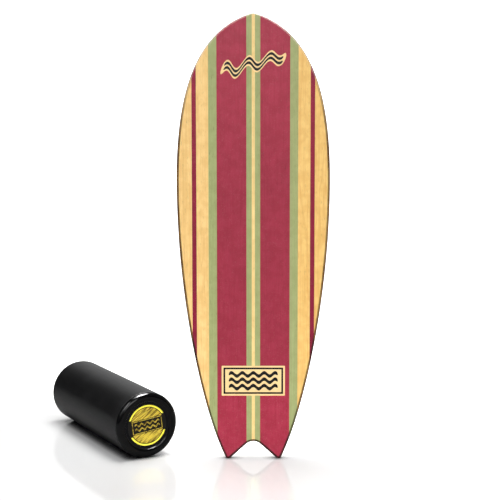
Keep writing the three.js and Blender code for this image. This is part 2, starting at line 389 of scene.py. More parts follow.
class RoundAxis(Effect):
    """A place given as angle, distance from and height along an axis through a point."""

    name = "round_axis"
    inputs = {"Vector": (0.0, 0.0, 0.0), "Centre": (0.0, 0.0, 0.0), "Yaw": 0.0}
    outputs = ("Angle", "Radius", "Along")

    @classmethod
    def wire(cls, wiring: Wiring, given: Values) -> Values:
        """Turns the axis onto -Y and measures about it; see SharedTree.wire."""
        moved = wiring.vector("SUBTRACT", given["Vector"], given["Centre"])
        turned_place = wiring.rotated(moved, given["Yaw"], "Z_AXIS")
        x, y, z = wiring.separate(turned_place)
        flat = wiring.vector("MULTIPLY", turned_place, (1.0, 0.0, 1.0))
        radius = wiring.out("ShaderNodeVectorMath", {0: flat}, "Value", operation="LENGTH")
        return {"Angle": wiring.math("ARCTAN2", x, z), "Radius": radius, "Along": y}


# ---------------------------------------------------------------------------------------- places
def axes(*columns: Vector) -> Matrix:
    """Makes the matrix to the frame from where a piece's own X, Y and Z point and its origin is."""
    return Matrix([*zip(*columns), (0.0, 0.0, 0.0, 1.0)])


@dataclass(frozen=True)
class RollerPlace:
    """Where the roller lies. Its own axes are right, up and out of its front end.

    Attributes:
        centre: Middle of the roller.
        axis: Unit vector out of the front end.
        radius: Outer radius.
        half_tube: Half the length of the tube.
    """

    centre: Vector
    axis: Vector
    radius: float
    half_tube: float

    @classmethod
    def from_frame(cls) -> "RollerPlace":
        """Reads the place from the roller's joint and boxes."""
        joint = next(j for j in frame["joints"] if j["child"] == Body.ROLLER.value)
        centre = Vector(joint["pos_m"])
        axis = Vector(joint["axis"]).normalized()
        low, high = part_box("roller_tube")
        radius = (high.z - low.z) / 2
        half_across = (high.x - low.x) / 2
        half_tube = (half_across - radius * abs(axis.y)) / abs(axis.x)
        return cls(centre, axis, radius, half_tube)

    @property
    def yaw(self) -> float:
        """Turn about +Z that brings the axis onto -Y."""
        return -math.atan2(self.axis.x, -self.axis.y)

    def matrix(self, end: End = End.FRONT, out: float = 0.0) -> Matrix:
        """Gives the place of a piece that faces one end, its origin some way out of the middle."""
        outward = self.axis * end.value
        up = Vector((0.0, 0.0, 1.0))
        return axes(up.cross(outward), up, outward, self.centre + outward * out)


@dataclass(frozen=True)
class DeckPlace:
    """Where the deck stands. Its own axes are across, up and out of the striped face.

    Attributes:
        centre: X of the centre line.
        middle: Y of the middle of the thickness.
        foot: Z of the tail tips.
        half_thickness: Half the thickness.
    """

    centre: float
    middle: float
    foot: float
    half_thickness: float

    @classmethod
    def from_frame(cls) -> "DeckPlace":
        """Reads the place from the boxes of the layers."""
        low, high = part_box("face_centre_yellow")
        core_low, core_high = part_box("ply_4_long_grain")
        _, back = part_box("back_veneer")
        middle = (core_low.y + core_high.y) / 2
        return cls((low.x + high.x) / 2, middle, core_low.z, back.y - middle)

    def levels(self, node: str) -> tuple[float, float]:
        """Gives how far a node's back and front lie in front of the middle of the thickness."""
        low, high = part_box(node)
        return self.middle - high.y, self.middle - low.y

    def matrix(self, up: float = 0.0, out: float = 0.0, tilt: float = 0.0, back: bool = False) -> Matrix:
        """Gives the place of something on the centre line of the deck.

        Args:
            up: How far above the tail tips its origin is.
            out: How far from the middle of the thickness.
            tilt: Turn about its own Z.
            back: Whether it is on the back, and so turned round about the deck's length.

        Returns:
            The matrix from its own axes, with Z outwards, to the frame.
        """
        side = -1.0 if back else 1.0
        origin = Vector((self.centre, self.middle - side * out, self.foot + up))
        place = axes(Vector((side, 0, 0)), Vector((0, 0, 1)), Vector((0, -side, 0)), origin)
        return place @ Matrix.Rotation(tilt, 4, "Z")


# ---------------------------------------------------------------------------------------- finishes
class Paint(Wiring):
    """A node material in the making, around one Principled BSDF."""

    def __init__(self, name: str, **constants: Any) -> None:
        """Starts a material.

        Args:
            name: The material's name.
            **constants: Plain values for the shader's own sockets, with _ for each space.
        """
        self.material = bpy.data.materials.new(name)
        self.material.use_nodes = True
        super().__init__(self.material.node_tree)
        self.tree.nodes.clear()
        self.shader = self.node("ShaderNodeBsdfPrincipled", spaced(constants))
        self.node("ShaderNodeOutputMaterial", {0: self.read(self.shader, 0)[0]})
        self.place = self.out("ShaderNodeTexCoord", output="Object")

    def effect(self, effect: type[Effect], **values: Any) -> Values:
        """Places a shared effect.

        Args:
            effect: Which one.
            **values: Its inputs, with _ for each space. The vector is the object's own if left out.

        Returns:
            Its outputs by name.
        """
        group = self.node("ShaderNodeGroup", node_tree=effect.tree())
        for key, value in ({"Vector": self.place} | spaced(values)).items():
            self.feed(group.inputs[key], value)
        return dict(zip(effect.outputs, self.read(group, *effect.outputs)))

    def attribute(self, name: str) -> Value:
        """Reads a number that the piece's mesh carries."""
        return self.out("ShaderNodeAttribute", output="Fac", attribute_name=name)

    def grain(self, across: bool = False, **values: Any) -> Values:
        """Places wood grain that runs along the deck or across it; see effect() for the rest."""
        place = self.place
        if across:
            place = self.out("ShaderNodeMapping", {"Vector": place, "Rotation": (0.0, TURN / 4, 0.0)})
        return self.effect(WoodGrain, Vector=place, Seed=self.attribute("seed"), **values)

    def about_roller(self) -> Values:
        """Measures the place about the roller's axis."""
        roller = RollerPlace.from_frame()
        return self.effect(RoundAxis, Centre=roller.centre, Yaw=roller.yaw)

    def done(self, colour: Any, roughness: Any, height: Any, depth: float,
             strength: float) -> Material:
        """Feeds the shader and ends the material.

        Args:
            colour: Base colour.
            roughness: Roughness.
            height: Height of the fine relief, 0 to 1.
            depth: How deep the relief is at 1.
            strength: How much of it shows.

        Returns:
            The material.
        """
        relief = {"Height": height, "Distance": depth, "Strength": strength}
        normal = self.out("ShaderNodeBump", relief, "Normal")
        for name, value in (("Base Color", colour), ("Roughness", roughness), ("Normal", normal)):
            self.feed(self.shader.inputs[name], value)
        return self.material


@dataclass(frozen=True)
class Finish:
    """What a piece is finished in.

    Attributes:
        slot: The record's material slot.
        main: Its main colour.
        second: The colour that varies it: growth lines, scuffs, thin print or dulled plating.
    """

    slot: str
    main: Colour
    second: Colour

    def material(self) -> Material:
        """Builds the material."""
        raise NotImplementedError


@dataclass(frozen=True)
class VeneerFinish(Finish):
    """Dyed or plain face veneer under a clear coat with fine grit.

    Attributes:
        edge: Colour of the rounded edge where it is darker: partly stain, partly painted shade.
        figure: How strongly the growth lines show.
        painted_end_light: How much paler it is at the tail and, by part of that, at the nose, as painted
            light.
        name: The material's own name, if the slot has more than one.
    """

    edge: Colour
    figure: float
    painted_end_light: float = 0.0
    name: str = ""
    # Painted light: heights over which the colour grows paler towards the tail and the nose, and the tint
    # that makes it paler.
    tail_light_ramp: ClassVar[Point] = (0.32, 0.08)
    nose_light_ramp: ClassVar[Point] = (0.65, 0.92)
    nose_share: ClassVar[float] = 0.75
    paler: ClassVar[Colour] = (1.5, 1.5, 1.5, 1.0)
    grit: ClassVar[Colour] = (1.0, 0.97, 0.9, 1.0)
    # Painted highlight: the paler tint of the nose's edge, where it faces the top light.
    nose_highlight_tint: ClassVar[Colour] = (1.0, 0.8, 0.7, 1.0)

    def material(self) -> Material:
        """Builds the material: wood, coat, painted light towards the ends, then the edge's stain, painted
        shade and painted highlight.
        """
        paint = Paint(self.name or self.slot, Specular_IOR_Level=0.2)
        grain = paint.grain()
        coat = paint.effect(GritCoat, Seed=paint.attribute("seed"), Cloud=22 * MM)
        tone = grain["Lines"] * self.figure + paint.ramp(grain["Fibre"], 0.35, 0.75, 0.0, 0.45)
        colour = paint.mix(tone, self.main, self.second)
        colour = paint.mix(paint.ramp(coat["Mottle"], 0.35, 0.65, 0.0, 0.5), colour, self.second)
        colour = paint.mix(grain["Pores"] * 0.35, colour, self.edge)
        colour = paint.mix(coat["Speck"] * 0.03, colour, self.grit)
        # Painted light: paler towards the tail, and towards the nose where the top light falls.
        z = paint.separate(paint.place)[2]
        pale = paint.math("MAXIMUM", paint.ramp(z, *self.tail_light_ramp, 0.0, self.painted_end_light),
                          paint.ramp(z, *self.nose_light_ramp, 0.0, self.nose_share * self.painted_end_light))
        colour = paint.mix(pale, colour, self.paler, "MULTIPLY")
        # The rounded edge: darker on the sides, partly as stain and partly as painted shade, with a painted
        # highlight at the nose, where its edge faces the top light.
        edge = paint.effect(EdgeStainAndShade, Rim=paint.attribute("rim"))
        colour = paint.mix(edge["Worn"] * 0.28, colour, self.nose_highlight_tint)
        colour = paint.mix(edge["Stain"], colour, self.edge)
        roughness = paint.ramp(coat["Mottle"], 0.3, 0.7, 0.5, 0.64)
        return paint.done(colour, roughness, coat["Grit"] + grain["Fibre"] * 0.6, 0.12 * MM, 0.45)


@dataclass(frozen=True)
class PlyFinish(Finish):
    """The sanded and sealed edge of one ply.

    Attributes:
        across: Whether the grain runs across the deck.
    """

    across: bool

    def material(self) -> Material:
        """Builds the material: fibre, pores, then what handling has rubbed pale."""
        paint = Paint(self.slot, Specular_IOR_Level=0.3)
        grain = paint.grain(self.across, Figure_Width=9 * MM, Fibre_Width=0.7 * MM)
        rubbed = paint.ramp(paint.effect(Handling)["Smudge"], 0.56, 0.72, 0.0, 0.3)
        colour = paint.mix(paint.ramp(grain["Fibre"], 0.3, 0.7), self.main, self.second)
        colour = paint.mix(grain["Pores"] * 0.6, colour, self.second)
        colour = paint.mix(rubbed, colour, self.main)
        roughness = paint.ramp(grain["Fibre"], 0.3, 0.7, 0.5, 0.68)
        return paint.done(colour, roughness, grain["Fibre"] - grain["Pores"] * 0.5, 0.15 * MM, 0.5)


@dataclass(frozen=True)
class PlainWoodFinish(Finish):
    """Plain lacquered or oiled wood, with rub marks.

    Attributes:
        rub: Colour of what the roller and hands leave on it.
        across: Whether the grain runs across the deck.
        figure_width: Width of the figure.
        gloss: Roughness of the lacquer.
        rubbed: How strongly rub marks show.
    """

    rub: Colour
    across: bool
    figure_width: float
    gloss: float
    rubbed: float

    def material(self) -> Material:
        """Builds the material: wood, rub marks, then the edge's stain and painted shade."""
        paint = Paint(self.slot, Specular_IOR_Level=0.4)
        grain = paint.grain(self.across, Figure_Width=self.figure_width)
        wear = paint.effect(Handling, Smudge=70 * MM)
        tone = grain["Lines"] * 0.35 + paint.ramp(grain["Fibre"], 0.3, 0.75, 0.0, 0.4)
        colour = paint.mix(tone, self.main, self.second)
        colour = paint.mix(grain["Pores"] * 0.5, colour, self.second)
        colour = paint.mix(paint.ramp(wear["Smudge"], 0.5, 0.75, 0.0, self.rubbed), colour, self.rub)
        colour = paint.mix(wear["Scratch"] * (self.rubbed * 1.5), colour, self.rub)
        # The rounded edge: darker, partly as stain and partly as painted shade, less so towards the nose.
        stain = paint.effect(EdgeStainAndShade, Rim=paint.attribute("rim"), Reach=0.75)["Stain"]
        colour = paint.mix(stain, colour, self.second)
        height = grain["Fibre"] - grain["Pores"] * 0.8
        return paint.done(colour, wear["Smudge"] * 0.2 + self.gloss, height, 0.08 * MM, 0.4)


@dataclass(frozen=True)
class PrintFinish(Finish):
    """Printed film or one of the inks on it.

    Attributes:
        gloss: Roughness.
        name: The material's own name, if the slot has more than one.
        brushed: How strongly fine diagonal lines show, as on a metallic ink.
    """

    gloss: float
    name: str = ""
    brushed: float = 0.0
    slant: ClassVar[float] = 0.6

    def material(self) -> Material:
        """Builds the material: thin print, then lines that slant in the plane of the roller's ends."""
        paint = Paint(self.name or self.slot, Specular_IOR_Level=0.2)
        coat = paint.effect(GritCoat, Seed=0.4, Grain=0.9 * MM, Cloud=9 * MM)
        wear = paint.effect(Handling, Scratch_Length=30 * MM)
        thin = paint.ramp(coat["Mottle"], 0.45, 0.75, 0.0, 0.35) + coat["Speck"] * 0.15
        colour = paint.mix(thin, self.main, self.second)
        facing = paint.rotated(paint.place, RollerPlace.from_frame().yaw, "Z_AXIS")
        slanted = paint.rotated(facing, self.slant, "Y_AXIS")
        lines = paint.noise(paint.vector("MULTIPLY", slanted, (0.06, 1.0, 1.0)), 620.0)
        colour = paint.mix(paint.ramp(lines, 0.42, 0.6, 0.0, self.brushed), colour, self.second)
        height = coat["Grit"] + lines * self.brushed
        return paint.done(colour, wear["Smudge"] * 0.15 + self.gloss, height, 0.05 * MM, 0.35)


@dataclass(frozen=True)
class TubeFinish(Finish):
    """Black extruded plastic: satin, with drawn lines along it and rub marks.

    Attributes:
        gloss: Roughness.
    """

    gloss: float

    def material(self) -> Material:
        """Builds the material about the roller's axis."""
        paint = Paint(self.slot, Specular_IOR_Level=0.22)
        about = paint.about_roller()
        wear = paint.effect(Handling, Scratch_Length=90 * MM, Smudge=60 * MM)
        circle = paint.combine(paint.math("SINE", about["Angle"]), paint.math("COSINE", about["Angle"]),
                               about["Along"] * 0.6)
        drawn = paint.noise(circle, 34.0, 3.0)
        colour = paint.mix(paint.ramp(wear["Smudge"], 0.5, 0.8, 0.0, 0.35), self.main, self.second)
        colour = paint.mix(wear["Scratch"] * 0.5, colour, self.second)
        rough = drawn * 0.1 + self.gloss + wear["Smudge"] * 0.08
        return paint.done(colour, rough, drawn - wear["Scratch"] * 0.6, 0.1 * MM, 0.25)


@dataclass(frozen=True)
class CapFinish(Finish):
    """Black moulded plastic: polished, with a matt floor in the dish that shows turning lines.

    Attributes:
        gloss: Roughness of the polished rim.
        matt: Roughness of the dish's floor.
        dish_radius: Radius of the dish's floor.
    """

    gloss: float
    matt: float
    dish_radius: float
    rim_width: ClassVar[float] = 1.5 * MM
    line_pitch: ClassVar[float] = 0.8 * MM

    def material(self) -> Material:
        """Builds the material about the roller's axis."""
        paint = Paint(self.slot)
        radius = paint.about_roller()["Radius"]
        wear = paint.effect(Handling, Scratch_Length=40 * MM, Smudge=30 * MM)
        floor = paint.ramp(radius, self.dish_radius, self.dish_radius - self.rim_width)
        lines = paint.math("SINE", radius * (TURN / self.line_pitch))
        peel = paint.noise(paint.place, 420.0, 1.0)
        colour = paint.mix(wear["Scratch"] * 0.4, self.main, self.second)
        colour = paint.mix(floor * 0.5, colour, self.second)
        rough = wear["Smudge"] * 0.08 + self.gloss + floor * (self.matt - self.gloss)
        paint.feed(paint.shader.inputs["Specular IOR Level"], paint.ramp(floor, 0.0, 1.0, 0.22, 0.05))
        return paint.done(colour, rough, lines * 0.3 * floor + peel * 0.4, 0.04 * MM, 0.2)


@dataclass(frozen=True)
class SteelFinish(Finish):
    """Zinc plated steel, with the fine lines of rolling and driving."""

    def material(self) -> Material:
        """Builds the material."""
        paint = Paint(self.slot, Metallic=1.0)
        wear = paint.effect(Handling, Scratch_Length=4 * MM, Smudge=3 * MM)
        colour = paint.mix(paint.ramp(wear["Smudge"], 0.4, 0.7), self.main, self.second)
        return paint.done(colour, paint.ramp(wear["Smudge"], 0.3, 0.7, 0.25, 0.5), wear["Scratch"],
                          0.03 * MM, 0.5)


# Edge colours: partly stain on the sealed edge, partly painted shade on the sides; the pores take them too.
EDGE_BROWN_STAIN_AND_SHADE = srgb(94, 60, 20)
EDGE_RED_STAIN_AND_SHADE = srgb(58, 18, 18)
NATURAL = VeneerFinish("natural_veneer", srgb(250, 213, 142), srgb(230, 183, 108), EDGE_BROWN_STAIN_AND_SHADE, 0.4)
# Painted shade: a darker, warmer copy of the natural veneer for the strips on the right, as if they get less
# light than those on the left.
NATURAL_SHADED = VeneerFinish("natural_veneer", srgb(247, 207, 127), srgb(226, 174, 92), EDGE_BROWN_STAIN_AND_SHADE, 0.4,
                    name="warm_veneer")
# The reds' 0.36 and 0.3 are how much paler they are painted towards the tail and the nose.
RED = VeneerFinish("red_veneer", srgb(164, 44, 68), srgb(142, 28, 50), EDGE_RED_STAIN_AND_SHADE, 0.2, 0.36)
DEEP_RED = VeneerFinish("red_veneer", srgb(146, 14, 54), srgb(122, 6, 40), EDGE_RED_STAIN_AND_SHADE, 0.2, 0.3, "deep_red")
# The green's edge colour is partly stain and partly painted shade.
GREEN = VeneerFinish("green_veneer", srgb(168, 175, 119), srgb(148, 155, 98), srgb(60, 52, 20), 0.2)
YELLOW = VeneerFinish("yellow_veneer", srgb(245, 216, 146), srgb(228, 194, 122), EDGE_BROWN_STAIN_AND_SHADE, 0.25)
LONG_PLY = PlyFinish("long_ply", srgb(112, 76, 42), srgb(70, 44, 22), across=False)
CROSS_PLY = PlyFinish("cross_ply", srgb(76, 49, 26), srgb(42, 25, 12), across=True)
BACK = PlainWoodFinish("back_veneer", srgb(232, 200, 144), srgb(186, 142, 86), srgb(92, 74, 56),
                       across=False, figure_width=80 * MM, gloss=0.3, rubbed=0.12)
HARDWOOD = PlainWoodFinish("stop_hardwood", srgb(206, 160, 106), srgb(150, 102, 58), srgb(70, 52, 38),
                           across=True, figure_width=12 * MM, gloss=0.38, rubbed=0.25)
FILM = PrintFinish("badge_film", srgb(246, 212, 152), srgb(236, 196, 132), 0.5)
INK = PrintFinish("badge_film", srgb(12, 12, 16), srgb(26, 25, 28), 0.55, "badge_ink")
END_FILM = PrintFinish("end_badge_film", srgb(12, 10, 8), srgb(26, 23, 16), 0.4)
YELLOW_INK = PrintFinish("end_badge_film", srgb(246, 236, 70), srgb(236, 214, 52), 0.4, "end_badge_yellow")
GOLD_INK = PrintFinish("end_badge_film", srgb(214, 188, 60), srgb(100, 78, 14), 0.35, "end_badge_gold",
                       brushed=1.0)
TUBE = TubeFinish("tube_plastic", srgb(14, 14, 15), srgb(38, 38, 40), 0.3)
CAP = CapFinish("cap_plastic", srgb(7, 7, 8), srgb(26, 26, 29), 0.08, 0.4, 61 * MM)
STEEL = SteelFinish("screw_steel", srgb(198, 200, 204), srgb(150, 152, 156))


@cache
def material_of(finish: Finish) -> Material:
    """Returns the one material that a finish makes."""
    return finish.material()


# ---------------------------------------------------------------------------------------- mesh making
def mesh_from(bm: bmesh.types.BMesh, name: str) -> Mesh:
    """Ends a bmesh and returns it as a plain mesh."""
    mesh = bpy.data.meshes.new(name)
    bm.to_mesh(mesh)
    bm.free()
    return mesh


def smoothed(mesh: Mesh, sharp: float = SHARP) -> Mesh:
    """Shades a mesh smooth except over edges sharper than an angle in degrees, and returns it."""
    mesh.shade_smooth()
    mesh.set_sharp_from_angle(angle=math.radians(sharp))
    return mesh


def merged(name: str, parts: Iterable[tuple[Mesh, Matrix]]) -> Mesh:
    """Puts moved copies of meshes into one mesh."""
    bm = bmesh.new()
    for mesh, place in parts:
        copy = mesh.copy()
        copy.transform(place)
        bm.from_mesh(copy)
    return mesh_from(bm, name)


class Draft:
    """A closed mesh in the making, laid down ring by ring."""

    def __init__(self) -> None:
        """Starts an empty mesh."""
        self.bm = bmesh.new()

    def ring(self, points: Iterable[Sequence[float]]) -> list[bmesh.types.BMVert]:
        """Adds a ring of points, anticlockwise as seen from outside the top."""
        return [self.bm.verts.new(point) for point in points]

    def level(self, outline: Iterable[Point], height: float) -> list[bmesh.types.BMVert]:
        """Adds a flat outline at a height."""
        return self.ring((x, y, height) for x, y in outline)

    def wall(self, *rings: Sequence[bmesh.types.BMVert]) -> None:
        """Joins each ring to the next. Rings have as many points each, or one point for a fan."""
        for lower, upper in zip(rings, rings[1:]):
            count = max(len(lower), len(upper))
            for i in range(count):
                j = (i + 1) % count
                corners = [lower[i % len(lower)], lower[j % len(lower)],
                           upper[j % len(upper)], upper[i % len(upper)]]
                self.bm.faces.new(dict.fromkeys(corners))

    def stack(self, *rings: Sequence[bmesh.types.BMVert]) -> None:
        """Joins rings from the lowest to the highest, and closes both ends with one flat face."""
        self.wall(*rings)
        self.bm.faces.new(list(reversed(rings[0])))
        self.bm.faces.new(rings[-1])

    def mesh(self, name: str) -> Mesh:
        """Ends the draft."""
        return smoothed(mesh_from(self.bm, name))


def turned(name: str, profile: Sequence[Point], sides: int) -> Mesh:
    """Turns a closed profile about Z.

    Args:
        name: The mesh's name.
        profile: (radius, height) points in order. The solid is on the left of the way they run.
        sides: How many sides each ring has.

    Returns:
        The mesh.
    """
    draft = Draft()
    rings = []
    for radius, height in profile:
        angles = [TURN * i / sides for i in range(sides if radius > 0 else 1)]
        rings.append(draft.ring((radius * math.cos(a), radius * math.sin(a), height) for a in angles))
    draft.wall(*rings)
    if profile[0][0] > 0:
        draft.wall(rings[-1], rings[0])
    return draft.mesh(name)


def arc(centre: Point, radii: Point, start: float, stop: float, steps: int) -> list[Point]:
    """Lays points along an elliptic arc.

    Args:
        centre: Its centre.
        radii: Its two half axes.
        start: First angle in degrees.
        stop: Last angle in degrees.
        steps: How many steps to take.

    Returns:
        The points.
    """
    angles = [math.radians(start + (stop - start) * i / steps) for i in range(steps + 1)]
    return [(centre[0] + radii[0] * math.cos(a), centre[1] + radii[1] * math.sin(a)) for a in angles]


def rounded_rectangle(width: float, height: float, corner: float, steps: int = 8) -> list[Point]:
    """Outlines a rectangle with round corners about the origin, anticlockwise."""
    right, top = width / 2 - corner, height / 2 - corner
    centres = ((right, top), (-right, top), (-right, -top), (right, -top))
    corners = [arc(c, (corner, corner), 90 * i, 90 * (i + 1), steps) for i, c in enumerate(centres)]
    return [point for points in corners for point in points]


def plate(outline: Sequence[Point], thickness: float, hole: Sequence[Point] | None = None) -> Mesh:
    """Makes a flat plate on z = 0, with a hole of as many points in it if one is given."""
    draft = Draft()
    low, high = draft.level(outline, 0.0), draft.level(outline, thickness)
    if hole is None:
        draft.stack(low, high)
    else:
        inner_low, inner_high = draft.level(hole, 0.0), draft.level(hole, thickness)
        draft.wall(low, high, inner_high, inner_low, low)
    return draft.mesh("plate")


def frame_line(size: Point, corner: float, line: float, thickness: float) -> Mesh:
    """Makes a flat rectangular line of an outer size, with its inner corners half as round."""
    wide, high = size
    inside = rounded_rectangle(wide - 2 * line, high - 2 * line, corner / 2)
    return plate(rounded_rectangle(wide, high, corner), thickness, inside)


def evaluated(obj: bpy.types.Object) -> Mesh:
    """Takes the plain mesh that an object's modifiers make, and removes the object."""
    depsgraph = bpy.context.evaluated_depsgraph_get()
    mesh = bpy.data.meshes.new_from_object(obj.evaluated_get(depsgraph), depsgraph=depsgraph)
    bpy.data.objects.remove(obj)
    return mesh


def carved(mesh: Mesh, tool: Mesh) -> Mesh:
    """Cuts one closed mesh away from another, and returns what is left."""
    cutter, work = in_scene("cutter", tool), in_scene("work", mesh)
    cut = work.modifiers.new("cut", "BOOLEAN")
    cut.operation = "DIFFERENCE"
    cut.solver = "EXACT"
    cut.object = cutter
    result = evaluated(work)
    bpy.data.objects.remove(cutter)
    return smoothed(result)


# ---------------------------------------------------------------------------------------- geometry trees
class GeometryTree(SharedTree):
    """A geometry node tree with named inputs, and how to run it on a mesh."""

    kind = "GeometryNodeTree"
    output_kind = SOCKET_KINDS[Mesh]
    outputs = ("Geometry",)

    @classmethod
    def shape(cls, wiring: Wiring, given: Values) -> Value:
        """Wires the geometry that the tree makes; see SharedTree.wire."""
        raise NotImplementedError

    @classmethod
    def wire(cls, wiring: Wiring, given: Values) -> Values:
        """Wires the shape, then Realize Instances and Set Material; see SharedTree.wire."""
        solid = wiring.out("GeometryNodeRealizeInstances", {0: cls.shape(wiring, given)})
        inputs = {"Geometry": solid, "Material": given["Material"]}
        return {"Geometry": wiring.out("GeometryNodeSetMaterial", inputs)}

    @classmethod
    def run(cls, base: Mesh, finish: Finish, **values: Any) -> Mesh:
        """Runs the tree on a mesh.

        Args:
            base: The mesh that it starts from.
            finish: What it dresses its result in.
            **values: Its inputs, with _ for each space.

        Returns:
            The plain mesh that it makes.
        """
        work = in_scene(cls.name, base)
        modifier = work.modifiers.new(cls.name, "NODES")
        modifier.node_group = cls.tree()
        chosen = cls.inputs | spaced(values) | {"Material": material_of(finish)}
        for item in cls.tree().interface.items_tree:
            if item.in_out == "INPUT" and item.name != "Geometry":
                modifier[item.identifier] = chosen[item.name]
        return evaluated(work)


def extruded(wiring: Wiring, mesh: Value, top: Value | None, height: Any) -> list[Value]:
    """Raises faces by a height along Z.

    Args:
        wiring: The tree.
        mesh: What to extrude.
        top: Which faces, or all of them.
        height: How far.

    Returns:
        The raised mesh, and which of its faces are on top.
    """
    inputs = {"Mesh": mesh, "Offset": wiring.combine(0.0, 0.0, height), "Offset Scale": 1.0,
              "Individual": False}
    if top is not None:
        inputs["Selection"] = top
    return wiring.read(wiring.node("GeometryNodeExtrudeMesh", inputs, mode="FACES"), "Mesh", "Top")


def closed_below(wiring: Wiring, base: Value, raised: Value) -> Value:
    """Joins a raised mesh with the flipped face that it was raised from, into one closed mesh."""
    joined_mesh = wiring.node("GeometryNodeJoinGeometry")
    for part in (wiring.out("GeometryNodeFlipFaces", {0: base}), raised):
        wiring.feed(joined_mesh.inputs[0], part)
    return wiring.out("GeometryNodeMergeByDistance", {"Geometry": wiring.read(joined_mesh, 0)[0],
                                                      "Distance": 1e-6})


class DeckLayer(GeometryTree):
    """One layer of the deck, raised from its flat outline, with its wall following the roundover.

    The outline's points carry "inward", the way and distance that each moves for an inset of one metre.
    The result carries "rim": 1 on the wall, and 0 on the flat face from a little inside it.
    """

    name = "deck_layer"
    inputs = {"Geometry": Mesh, "Bottom": 0.0, "Top": 1.8 * MM, "Half Thickness": 7 * MM,
              "Edge Radius": 3.2 * MM, "Rim": 2.7 * MM, "Steps": 6, "Material": Material}

    @classmethod
    def shape(cls, wiring: Wiring, given: Values) -> Value:
        """Raises the outline in steps, then draws each ring in by the roundover."""
        bottom, top_level, radius = given["Bottom"], given["Top"], given["Edge Radius"]
        base = wiring.out("GeometryNodeSetPosition", {
            "Geometry": given["Geometry"], "Offset": wiring.combine(0.0, 0.0, bottom)})
        thickness = top_level - bottom
        start, finish = wiring.node("GeometryNodeRepeatInput"), wiring.node("GeometryNodeRepeatOutput")
        start.pair_with_output(finish)
        finish.repeat_items.new("BOOLEAN", "Top")
        for name, value in (("Iterations", given["Steps"]), ("Geometry", base), ("Top", True)):
            wiring.feed(start.inputs[name], value)
        raised = extruded(wiring, *wiring.read(start, "Geometry", "Top"), thickness / given["Steps"])
        for name, value in zip(("Geometry", "Top"), raised):
            wiring.feed(finish.inputs[name], value)
        solid, flat = extruded(wiring, *wiring.read(finish, "Geometry", "Top"), 0.0)

        x, y, z = wiring.separate(wiring.out("GeometryNodeInputPosition"))
        rest = 1.0 - (z - bottom) / thickness
        eased = top_level - rest * rest * thickness
        depth = given["Half Thickness"] - wiring.math("ABSOLUTE", eased)
        short = wiring.math("MAXIMUM", radius - depth, 0.0)
        inset = radius - wiring.math("SQRT", radius * radius - short * short)
        inward = wiring.out("GeometryNodeInputNamedAttribute", {"Name": "inward"}, "Attribute",
                            data_type="FLOAT_VECTOR")
        drawn = wiring.vector("ADD", wiring.combine(x, y, eased), wiring.scaled(inward, inset))
        shaped = wiring.out("GeometryNodeSetPosition", {
            "Geometry": closed_below(wiring, base, solid), "Position": drawn})
        stored = wiring.out("GeometryNodeStoreNamedAttribute",
                            {"Geometry": shaped, "Name": "rim", "Value": 1.0 - flat},
                            data_type="FLOAT", domain="POINT")
        return wiring.out("GeometryNodeSetPosition", {
            "Geometry": stored, "Selection": flat, "Offset": wiring.scaled(inward, given["Rim"])})


class WaveBand(GeometryTree):
    """Rows of raised wave lines, each a band along a wave that fades along its length."""

    name = "wave_band"
    inputs = {"Geometry": Mesh, "Length": 150 * MM, "Rise": 15 * MM, "Waves": 2.5, "Fade": 0.0,
              "Stroke": 12 * MM, "Margin": 0.0, "Taper": 0.03, "Lean": 0.0, "Thickness": 0.1 * MM,
              "Rows": 1, "Row Pitch": 15 * MM, "Row Shift": 0.0, "Points": 160,
              "Material": Material}
    blunt_end = 1.02

    @classmethod
    def shape(cls, wiring: Wiring, given: Values) -> Value:
        """Bends a thin grid along the wave, raises it, and repeats it."""
        length = given["Length"]
        shown = length - given["Margin"] * 2.0
        grid = wiring.out("GeometryNodeMeshGrid", {"Size X": shown, "Size Y": 1.0,
                                                   "Vertices X": given["Points"], "Vertices Y": 2}, "Mesh")
        x, y, _ = wiring.separate(wiring.out("GeometryNodeInputPosition"))
        along = x / length + 0.5
        sine = wiring.math("SINE", given["Waves"] * TURN * along)
        wave = given["Rise"] * (1.0 - given["Fade"] * along) * sine
        to_end = (shown * 0.5 - wiring.math("ABSOLUTE", x)) / length
        gone = 1.0 - wiring.math("MINIMUM", to_end / given["Taper"], 1.0)
        full = wiring.math("SQRT", cls.blunt_end - gone * gone)
        up = wave + y * given["Stroke"] * (full * 2.0)
        bent = wiring.out("GeometryNodeSetPosition", {
            "Geometry": grid, "Position": wiring.combine(x + given["Lean"] * up, up, 0.0)})
        raised, _ = extruded(wiring, bent, None, given["Thickness"])
        spacing = wiring.combine(given["Row Shift"], given["Row Pitch"], 0.0)
        first = wiring.scaled(spacing, (given["Rows"] - 1.0) * -0.5)
        rows = wiring.out("GeometryNodeMeshLine", {"Count": given["Rows"], "Offset": spacing,
                                                   "Start Location": first})
        return wiring.out("GeometryNodeInstanceOnPoints", {
            "Points": rows, "Instance": closed_below(wiring, bent, raised)})

    @classmethod
    def lines(cls, finish: Finish, **values: Any) -> Mesh:
        """Makes wave lines by themselves; see GeometryTree.run."""
        return smoothed(cls.run(bpy.data.meshes.new("waves"), finish, **values))


class ScrewRow(GeometryTree):
    """One screw set on each point of a mesh, each driven to its own angle."""

    name = "screw_row"
    inputs = {"Geometry": Mesh, "Seed": 4, "Material": Material}
    blank = "screw_blank"

    @classmethod
    def shape(cls, wiring: Wiring, given: Values) -> Value:
        """Sets the screw on every point with a seeded turn."""
        screw = wiring.out("GeometryNodeObjectInfo", {"Object": bpy.data.objects[cls.blank]}, "Geometry")
        angle = wiring.out("FunctionNodeRandomValue", {"Max": TURN, "Seed": given["Seed"]}, "Value",
                           data_type="FLOAT")
        return wiring.out("GeometryNodeInstanceOnPoints", {
            "Points": given["Geometry"], "Instance": screw, "Rotation": wiring.combine(0.0, 0.0, angle)})


